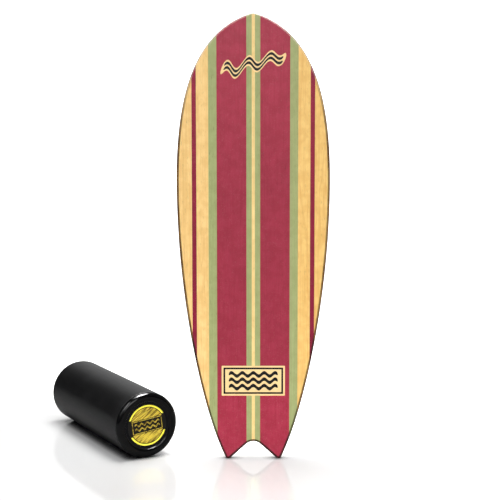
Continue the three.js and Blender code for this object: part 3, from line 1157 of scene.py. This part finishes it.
# ---------------------------------------------------------------------------------------- sub-assemblies
@dataclass
class Piece:
    """A piece of the object with its mesh, waiting to be dressed.

    Attributes:
        name: Its name.
        body: The body that it moves with.
        finish: What it is finished in.
        mesh: Its mesh, in its own axes.
        place: From its own axes to the frame.
        nodes: The CAD nodes that it stands for.
        seed: What sets its pattern apart from its neighbours'.
    """

    name: str
    body: Body
    finish: Finish
    mesh: Mesh
    place: Matrix
    nodes: tuple[str, ...] = ()
    seed: float = 0.0

    def show(self) -> None:
        """Dresses the piece and puts it in its place for good."""
        mesh = self.mesh
        mesh.name = self.name
        mesh.transform(self.place)
        mesh.materials.clear()
        mesh.materials.append(material_of(self.finish))
        layer = mesh.attributes.new("seed", "FLOAT", "POINT")
        layer.data.foreach_set("value", [self.seed] * len(mesh.vertices))
        obj = in_scene(self.name, mesh)
        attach(obj, self.body.value)
        if self.nodes:
            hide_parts(*self.nodes)
        LOG.info("%s: %d faces, rides on %s", self.name, len(mesh.polygons), self.body.value)


class SubAssembly:
    """Some pieces that belong together."""

    def build(self) -> list[Piece]:
        """Makes the pieces, not yet dressed."""
        raise NotImplementedError

    def dress(self, pieces: list[Piece]) -> None:
        """Gives the pieces their finishes and puts them in their places."""
        for piece in pieces:
            piece.show()


@dataclass(frozen=True)
class DeckPart(SubAssembly):
    """Something that belongs to the deck.

    Attributes:
        place: Where the deck stands.
    """

    place: DeckPlace

    def piece(self, name: str, finish: Finish, mesh: Mesh, nodes: tuple[str, ...] = (),
              seed: float = 0.0, **where: Any) -> Piece:
        """Makes a piece of it; see Piece for what is given, and DeckPlace.matrix for where."""
        return Piece(name, Body.DECK, finish, mesh, self.place.matrix(**where), nodes, seed)


@dataclass(frozen=True)
class RollerPart(SubAssembly):
    """Something turned about the roller's axis.

    Attributes:
        place: Where the roller lies.
    """

    place: RollerPlace


def joined(first: Path, second: Path, radius: float, steps: int = 10) -> Path:
    """Joins two paths that meet at a corner, and rounds the corner.

    Args:
        first: The path that ends in the corner.
        second: The path that starts there.
        radius: Radius of the rounding.
        steps: How many steps the rounding takes.

    Returns:
        The whole path.
    """
    corner = first[-1]
    before = (corner - first[-2]).normalized()
    after = (second[1] - corner).normalized()
    turn = before.angle_signed(after)
    reach = radius * math.tan(abs(turn) / 2)
    side = Vector((before.y, -before.x)) * math.copysign(1.0, turn)
    centre = corner - before * reach + side * radius
    rounding = []
    for i in range(steps + 1):
        angle = abs(turn) * i / steps
        rounding.append(centre - side * (radius * math.cos(angle)) + before * (radius * math.sin(angle)))
    start, stop = ([point for point in path if (point - corner).length > reach * 1.05]
                   for path in (first, second))
    return start + rounding + stop


@dataclass(frozen=True)
class DeckOutline:
    """The outline of the deck about its centre line, up from its tail tips.

    Attributes:
        nose: Bezier points from the nose to the widest place.
        tail: Bezier points from the widest place to the outer corner of a tail tip.
        foot: Half width at the inner corner of a tail tip.
        notch_depth: Height of the top of the notch.
        notch_radius: Radius there.
        notch_angle: Slope of the notch's side, in degrees.
        nose_radius: Rounding of the nose.
        tip_radius: Rounding of the tips' corners.
        counts: How many points the tail's and the nose's curves have.
    """

    nose: tuple[Point, ...]
    tail: tuple[Point, ...]
    foot: float
    notch_depth: float
    notch_radius: float
    notch_angle: float
    nose_radius: float
    tip_radius: float
    counts: tuple[int, int]

    def points(self) -> Path:
        """Lays the whole outline anticlockwise, starting at the top of the notch."""
        tail, nose = ([point.to_2d() for point in interpolate_bezier(*map(Vector, curve[::-1]), count)]
                      for curve, count in zip((self.tail, self.nose), self.counts))
        side = tail + nose[1:]
        angle = math.radians(self.notch_angle)
        centre = Vector((0.0, self.notch_depth - self.notch_radius))
        bend = [centre + self.notch_radius * Vector((math.sin(angle * i / 8), math.cos(angle * i / 8)))
                for i in range(9)]
        tip = Vector((self.foot, 0.0))
        line = [bend[-1].lerp(tip, i / 16) for i in range(1, 17)]
        half = joined(bend + line, [tip, tip.lerp(side[0], 0.5), side[0]], self.tip_radius)
        half = joined(half, side, self.tip_radius)
        mirrored = [Vector((-point.x, point.y)) for point in reversed(half)]
        return joined(half, mirrored, self.nose_radius)[:-1]

    def face(self) -> Mesh:
        """Makes one flat face of the outline, whose points carry the way inwards."""
        points = self.points()
        draft = bmesh.new()
        draft.faces.new([draft.verts.new((p.x, p.y, 0.0)) for p in points])
        mesh = mesh_from(draft, "deck_outline")
        inward = []
        for i, point in enumerate(points):
            before = (point - points[i - 1]).normalized()
            after = (points[(i + 1) % len(points)] - point).normalized()
            normals = Vector((-before.y, before.x)), Vector((-after.y, after.x))
            mitre = (normals[0] + normals[1]) / (1 + normals[0].dot(normals[1]))
            inward += [mitre.x, mitre.y, 0.0]
        mesh.attributes.new("inward", "FLOAT_VECTOR", "POINT").data.foreach_set("vector", inward)
        return mesh


OUTLINE = DeckOutline(
    nose=((0.0, 1.1), (0.148, 1.056), (0.18749, 0.892), (0.18749, 0.691)),
    tail=((0.18749, 0.691), (0.18749, 0.387), (0.119, 0.1), (0.0675, 0.0)),
    foot=58.87 * MM, notch_depth=43.5 * MM, notch_radius=26 * MM, notch_angle=41.6,
    nose_radius=14 * MM, tip_radius=6 * MM, counts=(240, 157))


@dataclass(frozen=True)
class DeckCore(DeckPart):
    """The plies, and the plain veneer on the back.

    Attributes:
        plies: How many plies.
    """

    plies: int = 7

    def layer(self, bottom: float, top: float, steps: int, finish: Finish) -> Mesh:
        """Makes one layer between two heights from the middle of the thickness."""
        mesh = DeckLayer.run(OUTLINE.face(), finish, Bottom=bottom, Top=top, Steps=steps,
                             Half_Thickness=self.place.half_thickness)
        return smoothed(mesh, DECK_SHARP)

    def build(self) -> list[Piece]:
        """Makes the plies from the face to the back, then the back veneer."""
        pieces = []
        for number in range(1, self.plies + 1):
            across = number % 2 == 1
            node = f"ply_{number}_{'cross' if across else 'long'}_grain"
            finish = CROSS_PLY if across else LONG_PLY
            mesh = self.layer(*self.place.levels(node), 4, finish)
            pieces.append(self.piece(f"deck_ply_{number}", finish, mesh, (node,), seed=1.7 * number))
        bottom, top = self.place.levels("back_veneer")
        mesh = self.layer(-top, -bottom, 6, BACK)
        pieces.append(self.piece("deck_back", BACK, mesh, ("back_veneer",), seed=23.0, back=True))
        return pieces


@dataclass(frozen=True)
class StripedFace(SubAssembly):
    """The face veneer, laid in strips along the deck.

    Attributes:
        core: The core that it is glued to.
        strips: Name of each strip and its finish on the left and on the right, from the centre out.
            The last one runs to the edge.
    """

    core: DeckCore
    strips: tuple[tuple[str, VeneerFinish, VeneerFinish], ...] = (
        ("inner_green", GREEN, GREEN), ("wide_red", RED, RED), ("outer_green", GREEN, GREEN),
        ("inner_natural", NATURAL, NATURAL_SHADED), ("thin_red", DEEP_RED, DEEP_RED), ("outer_natural", NATURAL, NATURAL_SHADED))

    def strip(self, name: str, node: str, edges: tuple[float | None, float | None], finish: Finish,
              seed: float, sheet: Mesh) -> Piece:
        """Cuts one strip out of the sheet.

        Args:
            name: The piece's name.
            node: Its CAD node.
            edges: X of its left and right edge. None is the edge of the deck.
            finish: What it is finished in.
            seed: What sets its pattern apart.
            sheet: The whole face sheet.

        Returns:
            The strip, closed.
        """
        bm = bmesh.new()
        bm.from_mesh(sheet)
        bmesh.ops.triangulate(bm, faces=bm.faces)
        for edge, outwards in zip(edges, (-1.0, 1.0)):
            if edge is not None:
                result = bmesh.ops.bisect_plane(
                    bm, geom=[*bm.verts, *bm.edges, *bm.faces], plane_co=(edge, 0, 0), dist=1e-7,
                    plane_no=(outwards, 0, 0), clear_outer=True)
                rim = [item for item in result["geom_cut"] if isinstance(item, bmesh.types.BMEdge)]
                bmesh.ops.edgeloop_fill(bm, edges=rim)
        bmesh.ops.recalc_face_normals(bm, faces=bm.faces)
        mesh = smoothed(mesh_from(bm, "strip"), DECK_SHARP)
        return self.core.piece(name, finish, mesh, (node,), seed)

    def build(self) -> list[Piece]:
        """Makes the sheet and cuts the strips from it."""
        place = self.core.place
        centre = "face_centre_yellow"
        sheet = self.core.layer(*place.levels(centre), 6, YELLOW)
        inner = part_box(centre)[1].x - place.centre
        pieces = [self.strip("strip_centre", centre, (-inner, inner), YELLOW, 5.0, sheet)]
        for number, (name, on_left, on_right) in enumerate(self.strips):
            last = number == len(self.strips) - 1
            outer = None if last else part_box(f"face_right_{name}")[1].x - place.centre
            beyond = None if last else -outer
            for side, edges, finish, more in (("left", (beyond, -inner), on_left, 2.9),
                                              ("right", (inner, outer), on_right, 0.0)):
                pieces.append(self.strip(f"strip_{side}_{name}", f"face_{side}_{name}", edges, finish,
                                         7.3 * number + more, sheet))
            inner = outer
        return pieces


@dataclass(frozen=True)
class NoseBadge(DeckPart):
    """A leaning band of waves below the nose: pale film with dark lines on it.

    Attributes:
        height: Height of its middle.
        tilt: How steeply it climbs to the right, in degrees.
        lean: How far it leans to the right.
        pitch: Distance between the dark lines.
        ink: Thickness of the ink.
        wave: The wave that film and lines follow.
    """

    height: float = 0.977
    tilt: float = 14.0
    lean: float = 0.4
    pitch: float = 10 * MM
    ink: float = 0.06 * MM
    wave: ClassVar[dict[str, float]] = {"Length": 164 * MM, "Rise": 13 * MM, "Waves": 3.0, "Fade": 0.4}

    def build(self) -> list[Piece]:
        """Makes the film and its dark lines."""
        bottom, top = self.place.levels("nose_badge")
        film = WaveBand.lines(FILM, **self.wave, Lean=self.lean, Stroke=12 * MM, Thickness=top - bottom,
                              Taper=0.05)
        ink = WaveBand.lines(INK, **self.wave, Lean=self.lean, Stroke=3 * MM, Thickness=self.ink, Taper=0.02,
                             Margin=7 * MM, Rows=2, Row_Pitch=self.pitch, Row_Shift=self.lean * self.pitch)
        where = {"up": self.height, "tilt": math.radians(self.tilt)}
        return [self.piece("nose_badge_film", FILM, film, ("nose_badge",), out=bottom, **where),
                self.piece("nose_badge_waves", INK, ink, out=top, **where)]


@dataclass(frozen=True)
class TailBadge(DeckPart):
    """A pale plate near the tail, with a dark frame line and rows of waves in it.

    Attributes:
        height: Height of its middle.
        size: Its width and height.
        corner: Radius of its corners.
        frame_size: Outer width and height of the frame line.
        line: Width of the frame line, and half height of a wave line.
        ink: Thickness of the ink.
    """

    height: float = 0.1977
    size: Point = (157 * MM, 75.5 * MM)
    corner: float = 2 * MM
    frame_size: Point = (148 * MM, 66.5 * MM)
    line: float = 4.4 * MM
    ink: float = 0.06 * MM

    def build(self) -> list[Piece]:
        """Makes the film, the frame line and the waves."""
        bottom, top = self.place.levels("tail_badge")
        film = plate(rounded_rectangle(*self.size, self.corner), top - bottom)
        line = frame_line(self.frame_size, 1 * MM, self.line, self.ink)
        waves = WaveBand.lines(INK, Length=122 * MM, Rise=4.2 * MM, Waves=4.5, Stroke=self.line,
                               Thickness=self.ink, Rows=3, Row_Pitch=16 * MM, Points=200)
        return [self.piece("tail_badge_film", FILM, film, ("tail_badge",), up=self.height, out=bottom),
                self.piece("tail_badge_frame", INK, line, up=self.height, out=top),
                self.piece("tail_badge_waves", INK, waves, up=self.height, out=top)]


@dataclass(frozen=True)
class EndStops(DeckPart):
    """The hardwood bars on the back that keep the roller under the deck, with their screws.

    Attributes:
        length: Length of a bar.
        edge: Rounding of its edges.
        screw_spacing: Distance between screws.
        shank: Radius of a screw's shank.
        head: Radius of its head.
        head_height: Height of its cone.
        sunk: How far its head is below the bar's face.
        screw_length: Its length.
        recess: Half length and half width of the cross in its head.
        clearance: How much wider the countersink is.
    """

    length: float = 180 * MM
    edge: float = 2.5 * MM
    screw_spacing: float = 62 * MM
    shank: float = 2.1 * MM
    head: float = 4.2 * MM
    head_height: float = 2.6 * MM
    sunk: float = 0.3 * MM
    screw_length: float = 25 * MM
    recess: Point = (2.3 * MM, 0.6 * MM)
    clearance: float = 0.15 * MM

    def offsets(self) -> tuple[float, float, float]:
        """Gives how far across each screw of a bar is."""
        return (-self.screw_spacing, 0.0, self.screw_spacing)

    def bar(self, width: float, height: float) -> Mesh:
        """Makes one bar on z = 0, with round ends, round edges and countersunk holes."""
        draft = Draft()
        profile = arc((0.0, self.edge), (self.edge, self.edge), -90, 0, 6)
        levels = [(self.edge - x, y) for x, y in profile]
        levels += [(inset, height - y) for inset, y in reversed(levels)]
        draft.stack(*(draft.level(rounded_rectangle(self.length - 2 * inset, width - 2 * inset,
                                                    width / 2 - inset - 0.01 * MM, 16), level)
                      for inset, level in levels))
        mouth, over = self.head + self.clearance, 1 * MM
        tip = height - self.sunk - self.head_height
        bore = turned("bore", [(0, -over), (self.shank, -over), (self.shank, tip),
                               (mouth, tip + self.head_height), (mouth, height + over),
                               (0, height + over)], 48)
        bores = merged("bores", ((bore, Matrix.Translation((across, 0.0, 0.0)))
                                 for across in self.offsets()))
        return carved(draft.mesh("bar"), bores)

    def screw(self) -> Mesh:
        """Makes one countersunk screw with a cross recess, its head's face at z = 0."""
        profile = [(0, -self.screw_length), (self.shank * 0.2, -self.screw_length),
                   (self.shank, 3 * MM - self.screw_length), (self.shank, -self.head_height),
                   (self.head, -0.2 * MM), (self.head - 0.25 * MM, 0.0), (0, 0.0)]
        screw = turned("screw", profile, 48)
        long, narrow = self.recess
        for turn in (0.0, TURN / 4):
            wedge = Draft()
            wedge.stack(*(wedge.level([(x * share * long, y * narrow) for x, y in SQUARE], height)
                          for share, height in ((0.4, -1.9 * MM), (1.15, 0.4 * MM))))
            tool = wedge.mesh("wedge")
            tool.transform(Matrix.Rotation(turn, 4, "Z"))
            screw = carved(screw, tool)
        return screw

    def build(self) -> list[Piece]:
        """Makes the two bars and all six screws."""
        pieces, points, nodes = [], [], []
        for seed, node in ((31.0, "tail_stop"), (36.0, "nose_stop")):
            low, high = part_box(node)
            height = (low.z + high.z) / 2 - self.place.foot
            bottom, top = (-level for level in reversed(self.place.levels(node)))
            bar = self.bar(high.z - low.z, top - bottom)
            pieces.append(self.piece(f"{node}_bar", HARDWOOD, bar, (node,), seed, up=height, out=bottom,
                                     back=True))
            points += [(across, height, top - self.sunk) for across in self.offsets()]
            nodes += [f"{node}_screw_{side}" for side in ("left", "middle", "right")]
        blank = in_scene(ScrewRow.blank, self.screw())
        row = bpy.data.meshes.new("screw_row")
        row.from_pydata(points, [], [])
        screws = smoothed(ScrewRow.run(row, STEEL))
        bpy.data.objects.remove(blank)
        pieces.append(self.piece("stop_screws", STEEL, screws, tuple(nodes), back=True))
        return pieces


@dataclass(frozen=True)
class RollerTube(RollerPart):
    """The roller's extruded tube.

    Attributes:
        bore: Radius of its bore.
        chamfer: Breaking of its ends' edges.
        sides: How many sides it is turned with.
    """

    bore: float = 76.1 * MM
    chamfer: float = 0.35 * MM
    sides: int = 192

    def build(self) -> list[Piece]:
        """Turns the tube."""
        radius, half, chamfer = self.place.radius, self.place.half_tube, self.chamfer
        levels = [-half + chamfer + (2 * (half - chamfer)) * i / 12 for i in range(13)]
        profile = [(radius - chamfer, -half), *((radius, level) for level in levels),
                   (radius - chamfer, half), (self.bore, half), (self.bore, -half)]
        return [Piece("roller_shell", Body.ROLLER, TUBE, turned("tube", profile, self.sides),
                      self.place.matrix(), ("roller_tube",))]


@dataclass(frozen=True)
class EndCap(RollerPart):
    """A moulded cap: a round rim about a shallow dish, and a spigot inside the tube.

    Attributes:
        end: Which end it closes.
        height: Height of the rim above the tube's end.
        shy: How much less its radius is than the tube's.
        seam: Gap at its shoulder.
        crown: Radius of the rim's highest ring.
        dish: Depth of the dish.
        floor_radius: Radius of the dish's flat floor.
        under: Thickness of the plate.
        spigot: Outer radius of the spigot.
        hollow: Its inner radius.
        spigot_length: Its length.
        sides: How many sides it is turned with.
    """

    end: End
    height: float = 11.85 * MM
    shy: float = 0.25 * MM
    seam: float = 0.1 * MM
    crown: float = 70.5 * MM
    dish: float = 3.85 * MM
    floor_radius: float = 60.5 * MM
    under: float = 4 * MM
    spigot: float = 75.8 * MM
    hollow: float = 71.8 * MM
    spigot_length: float = 24 * MM
    sides: int = 192

    def profile(self) -> list[Point]:
        """Lays the section of the cap from the inside of its plate round to the middle of its dish."""
        radius = self.place.radius - self.shy
        floor = self.height - self.dish
        land = self.seam + 0.6 * MM
        outer = arc((self.crown, land), (radius - self.crown, self.height - land), 0, 90, 20)
        inner = arc((self.crown, floor + 0.8 * MM), (self.crown - self.floor_radius, self.dish - 0.8 * MM),
                    90, 172, 14)[1:]
        return [(0, floor - self.under), (self.hollow, floor - self.under),
                (self.hollow, -self.spigot_length), (self.spigot - 2 * MM, -self.spigot_length),
                (self.spigot, 2 * MM - self.spigot_length), (self.spigot, self.seam),
                (radius - 0.5 * MM, self.seam), (radius - 0.15 * MM, self.seam + 0.15 * MM),
                *outer, *inner, (self.floor_radius - 0.6 * MM, floor + 0.1 * MM),
                (self.floor_radius - 1.6 * MM, floor), (0, floor)]

    def build(self) -> list[Piece]:
        """Turns the cap."""
        name = self.end.name.lower()
        return [Piece(f"{name}_cap", Body.ROLLER, CAP, turned("cap", self.profile(), self.sides),
                      self.place.matrix(self.end, self.place.half_tube), (f"{name}_end_cap",))]


@dataclass(frozen=True)
class EndBadge(RollerPart):
    """The round label in a cap's dish: a black film with yellow arcs, gold fields and a wave plate.

    Attributes:
        end: Which end it is on.
        radius: Radius of the film.
        arcs: Outer and inner radius of the yellow arcs, and half height of the gap between them.
        fields: The same of the gold fields.
        tilt: How steeply the gap climbs to the right, in degrees.
        plate_size: Outer width and height of the plate's outline.
        plate_line: Width of that outline.
        film: Thickness of the film.
        ink: Thickness of each ink.
    """

    end: End
    radius: float = 52.4 * MM
    arcs: tuple[float, float, float] = (51.6 * MM, 47.2 * MM, 21.5 * MM)
    fields: tuple[float, float, float] = (45.2 * MM, 0.0, 18 * MM)
    tilt: float = 6.5
    plate_size: Point = (81 * MM, 32.5 * MM)
    plate_line: float = 1.6 * MM
    film: float = 0.2 * MM
    ink: float = 0.05 * MM

    def sectors(self, outer: float, inner: float, gap: float) -> Mesh:
        """Makes two facing parts of a ring, or of a disc if inner is 0, above and below a gap."""
        start = math.degrees(math.asin(gap / outer))
        outline = arc((0, 0), (outer, outer), start, 180 - start, 40)
        if inner:
            start = math.degrees(math.asin(gap / inner))
            outline += arc((0, 0), (inner, inner), 180 - start, start, 40)
        part = plate(outline, self.ink)
        return smoothed(merged("sectors", ((part, Matrix.Rotation(turn, 4, "Z"))
                                           for turn in (0.0, TURN / 2))))

    def build(self) -> list[Piece]:
        """Makes the film and its prints."""
        end = self.end.name.lower()
        low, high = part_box(f"{end}_end_badge")
        out = ((low + high) / 2 - self.place.centre).dot(self.place.axis) * self.end.value
        disc = arc((0, 0), (self.radius, self.radius), 0, 360, 96)[:-1]
        waves = WaveBand.lines(GOLD_INK, Length=68 * MM, Rise=2.6 * MM, Waves=4.5, Stroke=2.1 * MM,
                               Thickness=self.ink, Rows=2, Row_Pitch=11.5 * MM, Points=120)
        prints = (("film", END_FILM, plate(disc, self.film)),
                  ("arcs", YELLOW_INK, self.sectors(*self.arcs)),
                  ("fields", GOLD_INK, self.sectors(*self.fields)),
                  ("outline", GOLD_INK, frame_line(self.plate_size, 0.8 * MM, self.plate_line, self.ink)),
                  ("waves", GOLD_INK, waves))
        tilt = Matrix.Rotation(math.radians(self.tilt), 4, "Z")
        pieces = []
        for part, finish, mesh in prints:
            film = part == "film"
            place = self.place.matrix(self.end, out + (-self.film if film else self.film) / 2) @ tilt
            pieces.append(Piece(f"{end}_badge_{part}", Body.ROLLER, finish, mesh, place,
                                (f"{end}_end_badge",) if film else ()))
        return pieces


# ---------------------------------------------------------------------------------------- studio
@dataclass(frozen=True)
class Softbox:
    """A rectangular studio light.

    Attributes:
        name: Its name.
        place: Where its middle is.
        aim: What it points at.
        size: Its width and height.
        power: Its power in watts.
        shine_only: Whether it only shows in shiny surfaces and lights nothing else.
    """

    name: str
    place: tuple[float, float, float]
    aim: tuple[float, float, float]
    size: Point
    power: float
    shine_only: bool = False

    def build(self) -> None:
        """Makes the light."""
        data = bpy.data.lights.new(self.name, "AREA")
        data.shape = "RECTANGLE"
        data.size, data.size_y = self.size
        data.energy = self.power
        lamp = in_scene(self.name, data)
        lamp.location = self.place
        lamp.rotation_euler = (Vector(self.aim) - Vector(self.place)).to_track_quat("-Z", "Y").to_euler()
        lamp.visible_camera = False
        lamp.visible_diffuse = not self.shine_only


@dataclass(frozen=True)
class Studio:
    """A white sweep with soft lights, and the camera.

    Attributes:
        lights: The lights.
        floor_colour: Colour of the floor.
        floor_tint: Its colour where haze lies on it.
        floor_haze: Scale of the haze.
        floor_rough: Lowest and highest roughness of its shine.
        floor_gloss: Share of its shine.
        mirror_dim: How much darker it is as seen in shiny surfaces.
        floor_glow: How much the camera sees it glow on the left and on the right.
        glow_edge: X between which the glow changes.
        contact: How close to the floor something has to be to darken it with a painted contact shadow.
        contact_shadow_colour: Colour of that painted shadow, right under something.
        blank_y: Two ranges of Y, behind and in front, over which the floor turns white to the camera.
        blank_x: The same for X, left and right.
        behind_y: Range of Y over which it turns white behind the deck.
        behind_x: Range of X over which it does.
        reach: Half the size of the floor.
        wall_distance: How far behind the object the wall stands.
        wall_height: Its height.
        wall_left: X over which its left end fades out.
        wall_glow: How bright it glows.
        backdrop: How bright wall and room are to the camera.
        surround: How bright the room is for light.
        camera_place: Where the camera stands.
        camera_aim: What it looks at.
        lens: Its focal length in millimetres.
        shift: Its small lens shift, sideways and up.
    """

    lights: tuple[Softbox, ...] = (
        Softbox("key", (1.2, -3.6, 2.0), (0.1, 0.0, 0.5), (2.2, 1.8), 66.5),
        Softbox("left", (-2.3, -2.6, 1.9), (-0.1, 0.0, 0.3), (0.5, 1.3), 14.0),
        Softbox("top", (0.0, 0.1, 2.7), (0.0, -0.1, 0.0), (1.4, 1.2), 70.0),
        Softbox("card", (0.4, -0.2, 2.5), (-0.05, -0.2, 0.1), (1.2, 1.0), 500.0, shine_only=True),
        Softbox("strip", (-0.85, -2.0, 2.1), (-0.08, -0.2, 0.1), (0.35, 1.2), 45.0, shine_only=True))
    floor_colour: Colour = (0.88, 0.88, 0.88, 1.0)
    floor_tint: Colour = (0.88, 0.89, 0.9, 1.0)
    floor_haze: float = 3.0
    floor_rough: Point = (0.04, 0.06)
    floor_gloss: float = 0.31
    mirror_dim: float = 0.55
    floor_glow: Point = (0.15, 0.27)
    glow_edge: Point = (-0.14, 0.02)
    contact: float = 25 * MM
    contact_shadow_colour: Colour = (0.1, 0.1, 0.1, 1.0)
    blank_y: tuple[Point, Point] = ((0.2, 0.5), (-0.7, -1.0))
    blank_x: tuple[Point, Point] = ((-0.7, -1.0), (0.7, 1.0))
    behind_y: Point = (-0.2, -0.12)
    behind_x: Point = (-0.1, 0.02)
    reach: float = 12.0
    wall_distance: float = 5.0
    wall_height: float = 6.0
    wall_left: Point = (-3.6, -1.2)
    wall_glow: float = 0.68
    backdrop: float = 1.3
    surround: float = 0.06
    camera_place: tuple[float, float, float] = (0.184566, -3.1795, 0.8736)
    camera_aim: tuple[float, float, float] = (0.184566, -0.1959, 0.56)
    lens: float = 87.9
    shift: Point = (-0.0066, -0.0294)

    def sheet(self, name: str, shader: Any, place: Matrix) -> None:
        """Puts a flat sheet in the studio.

        Args:
            name: Its name and its material's.
            shader: Wires the material's surface, given its wiring and the object's coordinates.
            place: From a square of two metres to the frame.
        """
        material = bpy.data.materials.new(name)
        material.use_nodes = True
        wiring = Wiring(material.node_tree)
        wiring.tree.nodes.clear()
        surface = shader(wiring, wiring.out("ShaderNodeTexCoord", output="Object"))
        wiring.node("ShaderNodeOutputMaterial", {0: surface})
        mesh = bpy.data.meshes.new(name)
        mesh.from_pydata([(x, y, 0) for x, y in SQUARE], [], [(0, 1, 2, 3)])
        mesh.transform(place)
        mesh.materials.append(material)
        obj = in_scene(name, mesh)

    def floor(self, wiring: Wiring, place: Value) -> Value:
        """Wires the white floor: shine, a contact shadow painted from ambient occlusion, and what the camera
        sees it glow.
        """
        haze = wiring.noise(place, self.floor_haze, 3.0)
        camera, mirror = wiring.read(wiring.node("ShaderNodeLightPath"), "Is Camera Ray", "Is Glossy Ray")
        # Painted shadow: ambient occlusion darkens the floor's colour towards contact_shadow_colour under
        # and beside things, and dims its glow there too.
        sky = wiring.out("ShaderNodeAmbientOcclusion", {"Distance": self.contact}, "AO", samples=8)
        contact = wiring.ramp(sky, 0.25, 1.0)
        colour = wiring.mix(wiring.ramp(haze, 0.3, 0.7, 0.0, 0.03), self.floor_colour, self.floor_tint)
        colour = wiring.mix(contact, self.contact_shadow_colour, colour)
        colour = wiring.mix(mirror * self.mirror_dim, colour, (0.0, 0.0, 0.0, 1.0))
        matt = wiring.out("ShaderNodeBsdfDiffuse", {"Color": colour})
        rough = wiring.ramp(haze, 0.3, 0.7, *self.floor_rough)
        gloss = wiring.out("ShaderNodeBsdfAnisotropic", {"Roughness": rough})
        share = (1.0 - mirror) * self.floor_gloss
        surface = wiring.out("ShaderNodeMixShader", {0: share, 1: matt, 2: gloss})
        x, y, _ = wiring.separate(place)
        blank = wiring.ramp(y, *self.behind_y) * wiring.ramp(x, *self.behind_x)
        for along, limits in ((y, self.blank_y), (x, self.blank_x)):
            for start, stop in limits:
                blank = wiring.math("MAXIMUM", blank, wiring.ramp(along, start, stop))
        own = wiring.ramp(x, *self.glow_edge, *self.floor_glow) * contact
        glow = wiring.out("ShaderNodeEmission", {"Strength": (blank + own) * camera})
        return wiring.out("ShaderNodeAddShader", {0: surface, 1: glow})

    def wall(self, wiring: Wiring, place: Value) -> Value:
        """Wires the glowing wall behind the object; it fades out to the left and upwards."""
        x, _, z = wiring.separate(place)
        high = wiring.ramp(z, self.wall_height, self.wall_height / 2)
        glow = wiring.ramp(x, *self.wall_left) * high * self.wall_glow
        seen = wiring.out("ShaderNodeLightPath", output="Is Camera Ray")
        return wiring.out("ShaderNodeEmission", {"Strength": glow + seen * self.backdrop})

    def room(self) -> None:
        """Sets the world: white to the camera, dim for light."""
        world = bpy.data.worlds.new("studio_room")
        world.use_nodes = True
        bpy.context.scene.world = world
        wiring = Wiring(world.node_tree)
        wiring.tree.nodes.clear()
        seen = wiring.out("ShaderNodeLightPath", output="Is Camera Ray")
        level = wiring.out("ShaderNodeMapRange", {"Value": seen, "To Min": self.surround,
                                                  "To Max": self.backdrop})
        sky = wiring.out("ShaderNodeBackground", {"Color": (1.0, 1.0, 1.0, 1.0), "Strength": level})
        wiring.node("ShaderNodeOutputWorld", {0: sky})

    def camera(self) -> None:
        """Stands the camera."""
        data = bpy.data.cameras.new("camera")
        data.lens = self.lens
        data.sensor_width = 36.0
        data.shift_x, data.shift_y = self.shift
        data.dof.use_dof = False
        camera = in_scene("camera", data)
        camera.location = self.camera_place
        look = Vector(self.camera_aim) - Vector(self.camera_place)
        camera.rotation_euler = look.to_track_quat("-Z", "Y").to_euler()
        bpy.context.scene.camera = camera

    def build(self) -> None:
        """Sets up the floor, the wall, the lights, the room and the camera."""
        self.sheet("studio_floor", self.floor, Matrix.Scale(self.reach, 4))
        stand = (Matrix.Translation((0, self.wall_distance, self.wall_height / 2))
                 @ Matrix.Rotation(TURN / 4, 4, "X")
                 @ Matrix.Diagonal((self.reach, self.wall_height / 2 + 0.1, 1, 1)))
        self.sheet("studio_wall", self.wall, stand)
        self.room()
        for light in self.lights:
            light.build()
        self.camera()
        bpy.context.scene.view_settings.view_transform = "Standard"


def write_sizes() -> None:
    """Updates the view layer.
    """
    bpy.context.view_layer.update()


def main() -> None:
    """Builds and dresses everything."""
    logging.basicConfig(level=logging.INFO, format="%(message)s")
    deck = DeckPlace.from_frame()
    roller = RollerPlace.from_frame()
    core = DeckCore(deck)
    assemblies = [core, StripedFace(core), NoseBadge(deck), TailBadge(deck), EndStops(deck),
                  RollerTube(roller)]
    for end in End:
        assemblies += [EndCap(roller, end), EndBadge(roller, end)]
    for assembly in assemblies:
        assembly.dress(assembly.build())
    Studio().build()
    write_sizes()


if __name__ == "__main__":
    main()
